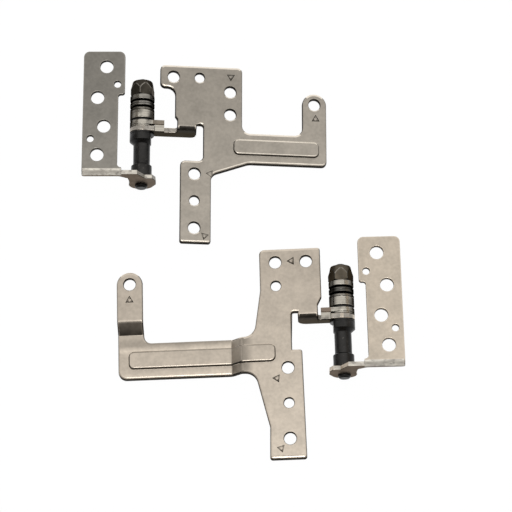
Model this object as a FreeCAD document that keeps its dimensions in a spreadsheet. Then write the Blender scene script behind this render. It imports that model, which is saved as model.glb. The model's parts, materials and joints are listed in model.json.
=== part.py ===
import FreeCAD, Part
import math
import os
import Sketcher

# A pair of friction hinges for a laptop lid, lying flat beside each other.
# Each hinge is drawn in a frame of its own: x across the shaft, y along the shaft
# towards the nut, z square to the base plate. The origin is on the shaft's axis,
# at the face of the base ear that looks towards the nut.

DIMENSIONS = {
    # sheet metal
    "plate_sheet": 1.2,
    "lid_sheet": 1.0,
    "bend_inside": 0.4,
    "plate_rise": 3.4,
    "lid_rise": 8.1,
    "screw_hole": 2.75,
    "locating_hole": 2.3,
    "rib_rise": 0.6,
    "rib_inset": 0.5,
    "corner_small": 0.6,
    "corner_mid": 1.2,
    "corner_bay": 1.9,
    "corner_brace": 2.85,
    "corner_elbow": 3.8,
    # shaft, turned from one bar
    "thread_dia": 2.5,
    "thread_tip": 0.7,
    "key_dia": 3.2,
    "key_flats": 2.5,
    "collar_dia": 5.7,
    "collar_length": 1.5,
    "collar_cone": 0.8,
    "collar_flat": 2.1,
    "body_dia": 3.9,
    "body_length": 4.95,
    "seat_dia": 4.8,
    "seat_chamfer": 0.35,
    "seat_length": 3.5,
    "rivet_shank": 2.5,
    "rivet_dia": 2.9,
    "rivet_head": 0.8,
    "rivet_round": 0.35,
    # stack on the shaft, from the ear to the nut
    "running_gap": 0.02,
    "bore_clearance": 0.03,
    "washer_dia": 5.7,
    "washer_round": 0.12,
    "thrust_thick": 0.5,
    "friction_thick": 0.4,
    "lug_thick": 1.0,
    "spacer_thick": 0.5,
    "spacer_dia": 5.1,
    "brake_thick": 2.0,
    "notched_thick": 0.6,
    "notch_width": 0.5,
    "notch_depth": 0.3,
    "spring_thick": 0.45,
    "spring_cone": 0.55,
    "pressure_thick": 1.2,
    "nut_flats": 5.0,
    "nut_height": 3.6,
    "nut_chamfer": 0.55,
    "nut_top_dia": 2.8,
    "nut_shoulder_dia": 4.4,
    "nut_shoulder_drop": 0.4,
    "nut_crown_drop": 1.8,
    "nut_base_inset": 0.14,
    "nut_slant": 20.0,
    # base ear and the finger that keeps the lug washer from turning
    "ear_radius": 2.85,
    "ear_low": 1.3,
    "ear_high": 2.6,
    "notch_floor": 1.65,
    "notch_round": 0.6,
    "finger_width": 2.2,
    "finger_drop": 0.3,
    "finger_gap": 0.05,
    "finger_root": 0.12,
    "relief_round": 0.7,
    # left base plate
    "left_lug_end": 2.75,
    "left_neck_in": 7.45,
    "left_neck_root": 8.0,
    "left_neck_low": 1.5,
    "left_neck_high": 2.3,
    "left_bend_end": 12.5,
    "left_notch_out": 14.05,
    "left_lobe_in": 3.9,
    "left_lobe_low": 9.45,
    "left_top": 15.15,
    "left_block_out": 23.1,
    "left_arm_high": 1.15,
    "left_arm_width": 7.6,
    "left_reach": 42.9,
    "left_tip_width": 5.65,
    "left_tip_hole": 6.55,
    "left_leg_in": 8.75,
    "left_leg_width": 7.15,
    "left_leg_hole_in": 3.3,
    "left_leg_high": 8.4,
    "left_leg_end": 28.5,
    "left_brace_out": 24.6,
    "left_brace_low": 11.85,
    "left_rib_start": 21.1,
    "left_rib_length": 19.9,
    "left_rib_width": 3.7,
    "left_rib_low": 6.65,
    "left_hole_row": 12.15,
    "left_lobe_hole": 7.0,
    "left_row_hole": 13.1,
    "left_block_hole": 20.3,
    "left_block_high": 8.85,
    "left_block_low": 3.2,
    "left_leg_hole": 11.7,
    "left_leg_pitch": 6.58,
    # right base plate
    "right_lug_end": 2.5,
    "right_neck_in": 5.4,
    "right_neck_low": 2.0,
    "right_bend_end": 10.0,
    "right_notch_out": 11.5,
    "right_plate_in": 4.5,
    "right_plate_low": 3.7,
    "right_plate_out": 18.35,
    "right_plate_flare": 5.8,
    "right_top": 15.6,
    "right_brace_high": 20.0,
    "right_brace_low": 20.0,
    "right_leg_in": 9.25,
    "right_leg_width": 7.7,
    "right_leg_hole_in": 3.3,
    "right_leg_high": 8.25,
    "right_leg_end": 33.5,
    "right_leg_flare": 0.35,
    "right_leg_spread": 0.2,
    "right_leg_taper": 26.0,
    "right_arm_high": 4.8,
    "right_arm_width": 8.5,
    "right_reach": 51.0,
    "right_step_start": 23.0,
    "right_step_drop": 2.2,
    "right_step_run": 2.2,
    "right_ramp_low": 2.9,
    "right_ramp_run": 2.6,
    "right_tip_width": 5.9,
    "right_tip_hole": 8.55,
    "right_crook": 1.7,
    "right_rib_start": 15.3,
    "right_rib_length": 33.3,
    "right_rib_width": 4.0,
    "right_rib_low": 10.9,
    "right_hole_row": 12.35,
    "right_near_hole": 7.75,
    "right_far_hole": 14.75,
    "right_locating_row": 6.75,
    "right_leg_hole": 12.5,
    "right_leg_pitch": 8.15,
    # lid bracket, the same on both hinges but mirrored
    "lid_outer": 13.3,
    "lid_inner_wide": 3.7,
    "lid_inner_narrow": 5.2,
    "lid_step": 5.5,
    "lid_crook": 0.95,
    "lid_crook_low": 0.05,
    "lid_crook_round": 0.9,
    "lid_top": 16.2,
    "lid_corner": 1.35,
    "lid_hole": 3.05,
    "lid_pin_hole": 1.6,
    "lid_hole_a_x": 7.95,
    "lid_hole_a_y": 12.35,
    "lid_hole_b_x": 9.95,
    "lid_hole_b_y": 4.7,
    "lid_hole_c_x": 8.4,
    "lid_hole_c_y": 2.35,
    "lid_hole_d_x": 9.85,
    "lid_hole_d_y": 9.3,
    "lid_pin_a_x": 5.4,
    "lid_pin_a_y": 8.0,
    "lid_pin_b_x": 11.45,
    "lid_pin_b_y": 5.4,
    "flange_low": 5.9,
    "lid_ear_high": 7.5,
    "lid_ear_shoulder": 4.5,
    "lid_ear_back": 3.4,
    "lid_ear_hook": 4.8,
    "lid_ear_crest": 0.6,
    "lid_ear_saddle": 1.0,
    "lid_ear_shelf": 2.72,
    "lid_ear_drop": 3.0,
    "lid_ear_side": 0.4,
    "lid_ear_front": 2.9,
    "lid_lobe_low": 1.2,
    "lid_lobe_back": 2.57,
    "lid_lobe_front": 2.28,
    # how the two hinges lie
    "pair_across": 46.1,
    "pair_along": 45.4,
    "right_turn": 1.5,
}


class Size:
    """A number together with the sheet expression that gives it."""

    def __init__(self, value, text):
        self.value = value
        self.text = text

    def join(self, other, sign, value):
        return Size(value, f"({self.text} {sign} {other.text})")

    def __add__(self, other):
        other = size(other)
        return self.join(other, "+", self.value + other.value)

    def __sub__(self, other):
        other = size(other)
        return self.join(other, "-", self.value - other.value)

    def __mul__(self, other):
        other = size(other)
        return self.join(other, "*", self.value * other.value)

    def __truediv__(self, other):
        other = size(other)
        return self.join(other, "/", self.value / other.value)

    def __neg__(self):
        return Size(-self.value, f"(-1 * {self.text})")


def size(number):
    if isinstance(number, Size):
        return number
    return Size(float(number), f"({float(number)})")


class Sizes:
    """Gives each alias of the sheet as a Size."""

    def __init__(self, table):
        for alias, value in table.items():
            setattr(self, alias, Size(value, f"dims.{alias}"))


doc = FreeCAD.newDocument("laptop_hinges")
sheet = doc.addObject("Spreadsheet::Sheet", "dims")
for row, (alias, value) in enumerate(DIMENSIONS.items(), start=1):
    sheet.set(f"A{row}", alias)
    sheet.set(f"B{row}", str(value))
    sheet.setAlias(f"B{row}", alias)
doc.recompute()
d = Sizes(DIMENSIONS)
ZERO = size(0)
LEFT = 1
RIGHT = -1
SIDE_NAMES = {LEFT: "left", RIGHT: "right"}
bodies = {}


def bind(item, prop, amount):
    item.setExpression(prop, size(amount).text)


def new_body(label):
    body = doc.addObject("PartDesign::Body", label)
    body.Label = label
    bodies[label] = body
    return body


def new_sketch(body, role, offset=ZERO):
    """A sketch on one of the body's own planes, moved along the plane's normal."""
    plane = next(item for item in body.Origin.OriginFeatures if item.Role == role)
    drawing = body.newObject("Sketcher::SketchObject", f"{body.Label}_{role}")
    drawing.AttachmentSupport = [(plane, "")]
    drawing.MapMode = "FlatFace"
    bind(drawing, "AttachmentOffset.Base.z", offset)
    return drawing


def fix_point(drawing, geometry, point, x, y):
    """Hold a point of the sketch at x, y from the sketch's origin."""
    for kind, amount in (("DistanceX", x), ("DistanceY", y)):
        amount = size(amount)
        index = drawing.addConstraint(
            Sketcher.Constraint(kind, -1, 1, geometry, point, amount.value))
        drawing.setExpression(f"Constraints[{index}]", amount.text)


def add_polygon(drawing, corners):
    points = [FreeCAD.Vector(size(x).value, size(y).value, 0) for x, y in corners]
    lines = []
    for start, end in zip(points, points[1:] + points[:1]):
        lines.append(drawing.addGeometry(Part.LineSegment(start, end), False))
    for line, following in zip(lines, lines[1:] + lines[:1]):
        drawing.addConstraint(Sketcher.Constraint("Coincident", line, 2, following, 1))
    for line, (x, y) in zip(lines, corners):
        fix_point(drawing, line, 1, x, y)


def add_circle(drawing, x, y, diameter):
    x, y, diameter = size(x), size(y), size(diameter)
    centre = FreeCAD.Vector(x.value, y.value, 0)
    ring = Part.Circle(centre, FreeCAD.Vector(0, 0, 1), diameter.value / 2)
    index = drawing.addGeometry(ring, False)
    fix_point(drawing, index, 3, x, y)
    width = drawing.addConstraint(Sketcher.Constraint("Diameter", index, diameter.value))
    drawing.setExpression(f"Constraints[{width}]", diameter.text)


def add_double_flat(drawing, diameter, flats):
    """A round outline with two flats that face along x."""
    half = flats / 2
    radius = diameter / 2
    rise = math.sqrt(radius.value ** 2 - half.value ** 2)
    middle = FreeCAD.Vector(0, 0, 0)
    normal = FreeCAD.Vector(0, 0, 1)
    lean = math.atan2(rise, half.value)
    circle = Part.Circle(middle, normal, radius.value)
    top = drawing.addGeometry(Part.ArcOfCircle(circle, lean, math.pi - lean), False)
    low = drawing.addGeometry(Part.ArcOfCircle(circle, math.pi + lean, 2 * math.pi - lean), False)
    right = drawing.addGeometry(Part.LineSegment(FreeCAD.Vector(half.value, -rise, 0),
                                                 FreeCAD.Vector(half.value, rise, 0)), False)
    left = drawing.addGeometry(Part.LineSegment(FreeCAD.Vector(-half.value, rise, 0),
                                                FreeCAD.Vector(-half.value, -rise, 0)), False)
    for first, end, second, start in ((right, 2, top, 1), (top, 2, left, 1),
                                      (left, 2, low, 1), (low, 2, right, 1)):
        drawing.addConstraint(Sketcher.Constraint("Coincident", first, end, second, start))
    for arc in (top, low):
        drawing.addConstraint(Sketcher.Constraint("Coincident", arc, 3, -1, 1))
        index = drawing.addConstraint(Sketcher.Constraint("Radius", arc, radius.value))
        drawing.setExpression(f"Constraints[{index}]", radius.text)
    for line, reach in ((right, half), (left, -half)):
        drawing.addConstraint(Sketcher.Constraint("Vertical", line))
        index = drawing.addConstraint(
            Sketcher.Constraint("DistanceX", -1, 1, line, 1, reach.value))
        drawing.setExpression(f"Constraints[{index}]", reach.text)


def add_pad(body, drawing, length):
    pad = body.newObject("PartDesign::Pad", f"{drawing.Name}_pad")
    pad.Profile = drawing
    bind(pad, "Length", length)
    doc.recompute()
    return pad


def cut_pocket(body, drawing, length=None, backwards=False):
    """Cut the sketch out of the body, all the way or to a depth."""
    before = body.Shape.Volume
    pocket = body.newObject("PartDesign::Pocket", f"{drawing.Name}_pocket")
    pocket.Profile = drawing
    pocket.Reversed = backwards
    if length is None:
        pocket.Type = "ThroughAll"
    else:
        bind(pocket, "Length", length)
    doc.recompute()
    if not body.Shape.Volume < before:
        raise RuntimeError(f"{pocket.Name} cuts nothing")


def turn_profile(body, corners):
    """Turn a profile, given as radius and height, about the shaft's axis."""
    drawing = new_sketch(body, "XY_Plane")
    add_polygon(drawing, corners)
    turned = body.newObject("PartDesign::Revolution", f"{drawing.Name}_turn")
    turned.Profile = drawing
    turned.ReferenceAxis = (drawing, ["V_Axis"])
    turned.Angle = 360
    doc.recompute()


def straight_edges(body, axis, places):
    """Names of the straight edges along one axis that pass through the given places."""
    across = [index for index in range(3) if index != axis]
    names = []
    for number, edge in enumerate(body.Shape.Edges, start=1):
        if not isinstance(edge.Curve, (Part.Line, Part.LineSegment)):
            continue
        start, end = (vertex.Point for vertex in (edge.Vertexes[0], edge.Vertexes[-1]))
        if any(abs(start[index] - end[index]) > 1e-5 for index in across):
            continue
        for place in places:
            wanted = [size(amount).value for amount in place]
            if all(abs(start[index] - goal) < 1e-4 for index, goal in zip(across, wanted)):
                names.append(f"Edge{number}")
    return names


def round_names(body, names, radius):
    if not names:
        raise RuntimeError(f"{body.Label} has no edge to round")
    carrier = body.Tip
    fillet = body.newObject("PartDesign::Fillet", f"{body.Label}_round")
    fillet.Base = (carrier, names)
    bind(fillet, "Radius", radius)
    body.Tip = fillet
    doc.recompute()
    if "Invalid" in fillet.State:
        raise RuntimeError(f"{fillet.Name} failed")


def round_corners(body, axis, places, radius):
    round_names(body, straight_edges(body, axis, places), radius)


def round_rims(body, radius, diameter):
    """Round the outer rims of a turned piece."""
    names = []
    for number, edge in enumerate(body.Shape.Edges, start=1):
        curve = edge.Curve
        if isinstance(curve, Part.Circle) and abs(curve.Radius - diameter.value / 2) < 1e-5:
            names.append(f"Edge{number}")
    round_names(body, names, radius)


# places along the shaft

GAP = d.running_gap
FRICTION_START = GAP
LUG_START = FRICTION_START + d.friction_thick + GAP
SPACER_START = LUG_START + d.lug_thick + GAP
BRAKE_START = SPACER_START + d.spacer_thick + GAP
NOTCHED_START = BRAKE_START + d.brake_thick + GAP
INNER_SPRING_START = NOTCHED_START + d.notched_thick + GAP
OUTER_SPRING_START = INNER_SPRING_START + d.spring_thick + d.spring_cone + GAP
PRESSURE_START = OUTER_SPRING_START + d.spring_thick + d.spring_cone + GAP
NUT_START = PRESSURE_START + d.pressure_thick + GAP
NUT_END = NUT_START + d.nut_height
THRUST_END = -d.plate_sheet - GAP
COLLAR_END = THRUST_END - d.thrust_thick - GAP
CONE_START = COLLAR_END - d.collar_length
BODY_START = CONE_START - d.collar_cone
SEAT_CHAMFER_START = BODY_START - d.body_length
SEAT_START = SEAT_CHAMFER_START - d.seat_chamfer
LID_EAR_START = SEAT_START - d.seat_length
LID_EAR_END = LID_EAR_START - d.lid_sheet
RIVET_END = LID_EAR_END - GAP - d.rivet_head
KEY_BORE = d.key_dia + d.bore_clearance * 2
KEY_BORE_FLATS = d.key_flats + d.bore_clearance * 2
PLATE_FLAT_END = d.bend_inside
PLATE_LOW = d.plate_rise - d.plate_sheet
LID_LOW = d.lid_rise - d.lid_sheet


# pieces on the shaft

def keyed_washer(label, start, thick, diameter):
    """A flat washer whose hole has the two flats of the shaft."""
    body = new_body(label)
    drawing = new_sketch(body, "XZ_Plane", -(start + thick))
    add_circle(drawing, 0, 0, diameter)
    add_double_flat(drawing, KEY_BORE, KEY_BORE_FLATS)
    add_pad(body, drawing, thick)
    round_rims(body, d.washer_round, diameter)
    return body


def notched_washer(label):
    """A keyed washer with small notches round its rim."""
    body = keyed_washer(label, NOTCHED_START, d.notched_thick, d.washer_dia)
    drawing = new_sketch(body, "XZ_Plane", -(NOTCHED_START + d.notched_thick))
    half = d.notch_width / 2
    floor = d.washer_dia / 2 - d.notch_depth
    outside = d.washer_dia / 2 + d.notch_depth
    for turn in (1, -1):
        add_polygon(drawing, [(-half, floor * turn), (half, floor * turn),
                              (half, outside * turn), (-half, outside * turn)])
        add_polygon(drawing, [(floor * turn, -half), (outside * turn, -half),
                              (outside * turn, half), (floor * turn, half)])
    cut_pocket(body, drawing, d.notched_thick, backwards=True)


def spring_washer(label, start, opens_up):
    """A dished spring washer; its rim is the end that meets the other spring."""
    body = new_body(label)
    hole = KEY_BORE / 2
    rim = d.washer_dia / 2
    low_hole = start
    low_rim = start + d.spring_cone
    if not opens_up:
        low_hole = start + d.spring_cone
        low_rim = start
    turn_profile(body, [(hole, low_hole), (rim, low_rim),
                        (rim, low_rim + d.spring_thick), (hole, low_hole + d.spring_thick)])


def lug_washer(label, side, lug_end):
    """A washer with a tail; the tail's finger drops into the notch of the base ear."""
    body = new_body(label)
    end = LUG_START + d.lug_thick
    drawing = new_sketch(body, "XZ_Plane", -end)
    add_circle(drawing, 0, 0, d.washer_dia)
    add_pad(body, drawing, d.lug_thick)
    finger_in = lug_end + d.finger_gap
    finger_out = finger_in + d.finger_width
    tail_low = d.notch_floor + d.finger_gap
    tail = new_sketch(body, "XZ_Plane", -end)
    add_polygon(tail, [(ZERO, tail_low), (finger_out * side, tail_low),
                       (finger_out * side, d.ear_high), (ZERO, d.ear_high)])
    add_pad(body, tail, d.lug_thick)
    finger = new_sketch(body, "XZ_Plane", -end)
    finger_high = d.ear_high - d.finger_drop
    add_polygon(finger, [(finger_in * side, tail_low), (finger_out * side, tail_low),
                         (finger_out * side, finger_high), (finger_in * side, finger_high)])
    add_pad(body, finger, end + d.plate_sheet)
    hole = new_sketch(body, "XZ_Plane", -end)
    add_circle(hole, 0, 0, KEY_BORE)
    cut_pocket(body, hole, backwards=True)
    round_corners(body, 1, [(finger_out * side, d.ear_high)], d.finger_drop / 2)


def hexagon_nut(label, slant):
    """A tall hexagon nut with a crowned top and chamfered corners at its base."""
    body = new_body(label)
    drawing = new_sketch(body, "XZ_Plane", -NUT_END)
    corner = d.nut_flats / math.sqrt(3)
    points = []
    for step in range(6):
        angle = math.radians(slant + 60 * step)
        points.append((corner * math.cos(angle), corner * math.sin(angle)))
    add_polygon(drawing, points)
    add_circle(drawing, 0, 0, d.thread_dia + d.bore_clearance * 2)
    add_pad(body, drawing, d.nut_height)
    cutter = new_sketch(body, "XY_Plane")
    base_face = d.nut_flats / 2 - d.nut_base_inset
    outside = corner + d.nut_chamfer
    base_rise = (outside - base_face) / 2
    add_polygon(cutter, [
        (d.nut_top_dia / 2, NUT_END), (d.nut_shoulder_dia / 2, NUT_END - d.nut_shoulder_drop),
        (corner, NUT_END - d.nut_crown_drop), (outside, NUT_END - d.nut_crown_drop), (outside, NUT_END)])
    add_polygon(cutter, [(base_face, NUT_START), (outside, NUT_START), (outside, NUT_START + base_rise)])
    before = body.Shape.Volume
    groove = body.newObject("PartDesign::Groove", f"{label}_chamfer")
    groove.Profile = cutter
    groove.ReferenceAxis = (cutter, ["V_Axis"])
    groove.Angle = 360
    doc.recompute()
    if not body.Shape.Volume < before:
        raise RuntimeError(f"{label} has no chamfer")


def shaft(label, side):
    """Thread, keyed neck, collar with a stop flat, round body, seat and rivet, all one piece."""
    body = new_body(label)
    thread = d.thread_dia / 2
    key = d.key_dia / 2
    collar = d.collar_dia / 2
    middle = d.body_dia / 2
    seat = d.seat_dia / 2
    shank = d.rivet_shank / 2
    head = d.rivet_dia / 2
    tip = NUT_END + d.thread_tip
    bevel = d.thread_tip / 2
    turn_profile(body, [
        (ZERO, tip), (thread - bevel, tip), (thread, tip - bevel), (thread, NUT_START),
        (key, NUT_START), (key, COLLAR_END), (collar, COLLAR_END), (collar, CONE_START),
        (middle, BODY_START), (middle, SEAT_CHAMFER_START), (seat, SEAT_START),
        (seat, LID_EAR_START + GAP), (shank, LID_EAR_START + GAP), (shank, LID_EAR_END - GAP),
        (head, LID_EAR_END - GAP), (head, RIVET_END + d.rivet_round),
        (head - d.rivet_round, RIVET_END), (ZERO, RIVET_END)])
    flats = new_sketch(body, "XZ_Plane", -NUT_START)
    half = d.key_flats / 2
    for turn in (1, -1):
        add_polygon(flats, [(half * turn, -key), (key * turn, -key), (key * turn, key), (half * turn, key)])
    cut_pocket(body, flats, NUT_START - COLLAR_END, backwards=True)
    stop = new_sketch(body, "XZ_Plane", -COLLAR_END)
    add_polygon(stop, [(d.collar_flat * side, -collar), (collar * side, -collar),
                       (collar * side, collar), (d.collar_flat * side, collar)])
    cut_pocket(body, stop, d.collar_length + d.collar_cone, backwards=True)


# sheet metal

def bend_strip(body, start, end, sheet, top, ear_end):
    """The rounded bend between a flat plate and the flange that hangs from it."""
    outer = d.bend_inside + sheet
    drawing = new_sketch(body, "YZ_Plane", start)
    ear_out = ear_end
    ear_in = ear_end + sheet
    flat = ear_end + outer
    low = top - outer
    centre = FreeCAD.Vector(flat.value, low.value, 0)
    normal = FreeCAD.Vector(0, 0, 1)
    arcs = []
    for radius in (outer, d.bend_inside):
        circle = Part.Circle(centre, normal, size(radius).value)
        arcs.append(drawing.addGeometry(Part.ArcOfCircle(circle, math.pi / 2, math.pi), False))
    big, small = arcs
    roof = drawing.addGeometry(Part.LineSegment(
        FreeCAD.Vector(flat.value, top.value, 0),
        FreeCAD.Vector(flat.value, (top - sheet).value, 0)), False)
    foot = drawing.addGeometry(Part.LineSegment(
        FreeCAD.Vector(ear_in.value, low.value, 0),
        FreeCAD.Vector(ear_out.value, low.value, 0)), False)
    for first, one, second, two in ((big, 1, roof, 1), (roof, 2, small, 1),
                                    (small, 2, foot, 1), (foot, 2, big, 2)):
        drawing.addConstraint(Sketcher.Constraint("Coincident", first, one, second, two))
    fix_point(drawing, big, 3, flat, low)
    fix_point(drawing, small, 3, flat, low)
    fix_point(drawing, roof, 1, flat, top)
    fix_point(drawing, foot, 1, ear_in, low)
    add_pad(body, drawing, end - start)


def flat_pad(body, corners, low, thick):
    drawing = new_sketch(body, "XY_Plane", low)
    add_polygon(drawing, corners)
    add_pad(body, drawing, thick)


def round_tip(body, x, y, width, low, thick):
    drawing = new_sketch(body, "XY_Plane", low)
    add_circle(drawing, x, y, width)
    add_pad(body, drawing, thick)


def drill(body, holes, top):
    drawing = new_sketch(body, "XY_Plane", top)
    for x, y, diameter in holes:
        add_circle(drawing, x, y, diameter)
    cut_pocket(body, drawing)


def base_ear(body, side, lug_end, neck_in, bend_end, corner):
    """The ear that the shaft turns in, hanging from the plate by a bend."""
    start = neck_in if side == LEFT else -bend_end
    end = bend_end if side == LEFT else -neck_in
    bend_strip(body, start, end, d.plate_sheet, d.plate_rise, -d.plate_sheet)
    drawing = new_sketch(body, "XZ_Plane")
    high = d.plate_rise - d.bend_inside - d.plate_sheet
    low_corner = (bend_end * side, -d.ear_low)
    add_polygon(drawing, [
        (ZERO, -d.ear_low), low_corner, (bend_end * side, high), (neck_in * side, high),
        (neck_in * side, d.notch_floor), (lug_end * side, d.notch_floor),
        (lug_end * side, d.ear_high), (ZERO, d.ear_high)])
    add_pad(body, drawing, d.plate_sheet)
    ring = new_sketch(body, "XZ_Plane")
    add_circle(ring, 0, 0, d.ear_radius * 2)
    add_pad(body, ring, d.plate_sheet)
    round_corners(body, 1, [low_corner], corner)
    round_corners(body, 1, [(lug_end * side, d.notch_floor)], d.finger_root)
    round_corners(body, 1, [(neck_in * side, d.notch_floor)], d.notch_round)
    bore = new_sketch(body, "XZ_Plane")
    add_circle(bore, 0, 0, KEY_BORE)
    cut_pocket(body, bore, d.plate_sheet, backwards=True)


def left_base_plate():
    body = new_body("left_base_plate")
    arm_high = -d.left_arm_high
    arm_low = arm_high - d.left_arm_width
    tip_in = d.left_reach - d.left_tip_width
    tip_mid = d.left_reach - d.left_tip_width / 2
    leg_out = d.left_leg_in + d.left_leg_width
    lobe = [(d.left_lobe_in, d.left_top), (d.left_lobe_in, d.left_lobe_low)]
    block = (d.left_block_out, d.left_top)
    bays = [(d.left_block_out, arm_high), (tip_in, arm_high), (d.left_neck_in, d.left_lobe_low)]
    ends = [(d.left_reach, arm_low), (d.left_leg_in, -d.left_leg_high)]
    feet = [(leg_out, -d.left_leg_end), (d.left_leg_in, -d.left_leg_end)]
    crook = (leg_out, -d.left_brace_low)
    elbow = (d.left_brace_out, arm_low)
    inner = (d.left_notch_out, -d.left_leg_high)
    slot = (d.left_notch_out, PLATE_FLAT_END)
    flat_pad(body, [
        lobe[0], block, bays[0], bays[1], (tip_in, d.left_tip_hole), (d.left_reach, d.left_tip_hole),
        ends[0], elbow, crook, feet[0], feet[1], ends[1], inner, slot,
        (d.left_neck_root, PLATE_FLAT_END), (d.left_neck_root, d.left_neck_low),
        (d.left_neck_in, d.left_neck_high), bays[2], lobe[1],
    ], PLATE_LOW, d.plate_sheet)
    round_corners(body, 2, bays + [crook], d.corner_bay)
    round_corners(body, 2, lobe + [block, inner] + ends, d.corner_mid)
    round_corners(body, 2, feet, d.corner_small)
    round_corners(body, 2, [slot], d.relief_round)
    round_corners(body, 2, [elbow], d.corner_elbow)
    round_tip(body, tip_mid, d.left_tip_hole, d.left_tip_width, PLATE_LOW, d.plate_sheet)
    base_ear(body, LEFT, d.left_lug_end, d.left_neck_root, d.left_bend_end, d.corner_mid)
    leg_mid = d.left_leg_in + d.left_leg_hole_in
    drill(body, [
        (d.left_lobe_hole, d.left_hole_row, d.screw_hole),
        (d.left_row_hole, d.left_hole_row, d.locating_hole),
        (d.left_block_hole, d.left_block_high, d.screw_hole),
        (d.left_block_hole, d.left_block_low, d.screw_hole),
        (tip_mid, d.left_tip_hole, d.screw_hole),
        (leg_mid, -d.left_leg_hole, d.screw_hole),
        (leg_mid, -d.left_leg_hole - d.left_leg_pitch, d.locating_hole),
        (leg_mid, -d.left_leg_hole - d.left_leg_pitch * 2, d.screw_hole)], d.plate_rise)
    rib_end = d.left_rib_start + d.left_rib_length
    rib_low = -d.left_rib_low
    rib_high = rib_low + d.left_rib_width
    corners = [(d.left_rib_start, rib_low), (rib_end, rib_low),
               (rib_end, rib_high), (d.left_rib_start, rib_high)]
    flat_pad(body, corners, d.plate_rise, d.rib_rise)
    round_corners(body, 2, corners, d.corner_mid)
    hollow = new_sketch(body, "XY_Plane", PLATE_LOW + d.rib_rise)
    hollow_start = d.left_rib_start + d.rib_inset
    hollow_end = rib_end - d.rib_inset
    hollow_low = rib_low + d.rib_inset
    hollow_high = rib_high - d.rib_inset
    add_polygon(hollow, [(hollow_start, hollow_low), (hollow_end, hollow_low),
                         (hollow_end, hollow_high), (hollow_start, hollow_high)])
    cut_pocket(body, hollow)


def step_path(start, end, level):
    """The stepped line of the right arm, at a level, from one place across to another."""
    step_end = d.right_step_start + d.right_step_run
    return [(-start, level), (-d.right_step_start, level),
            (-step_end, level - d.right_step_drop), (-end, level - d.right_step_drop)]


def stepped_band(body, path_low, path_high, low, width):
    """A band that follows the step, drawn from the side, from low along the shaft."""
    drawing = new_sketch(body, "XZ_Plane", -(low + width))
    add_polygon(drawing, path_low + path_high[::-1])
    return drawing


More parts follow.
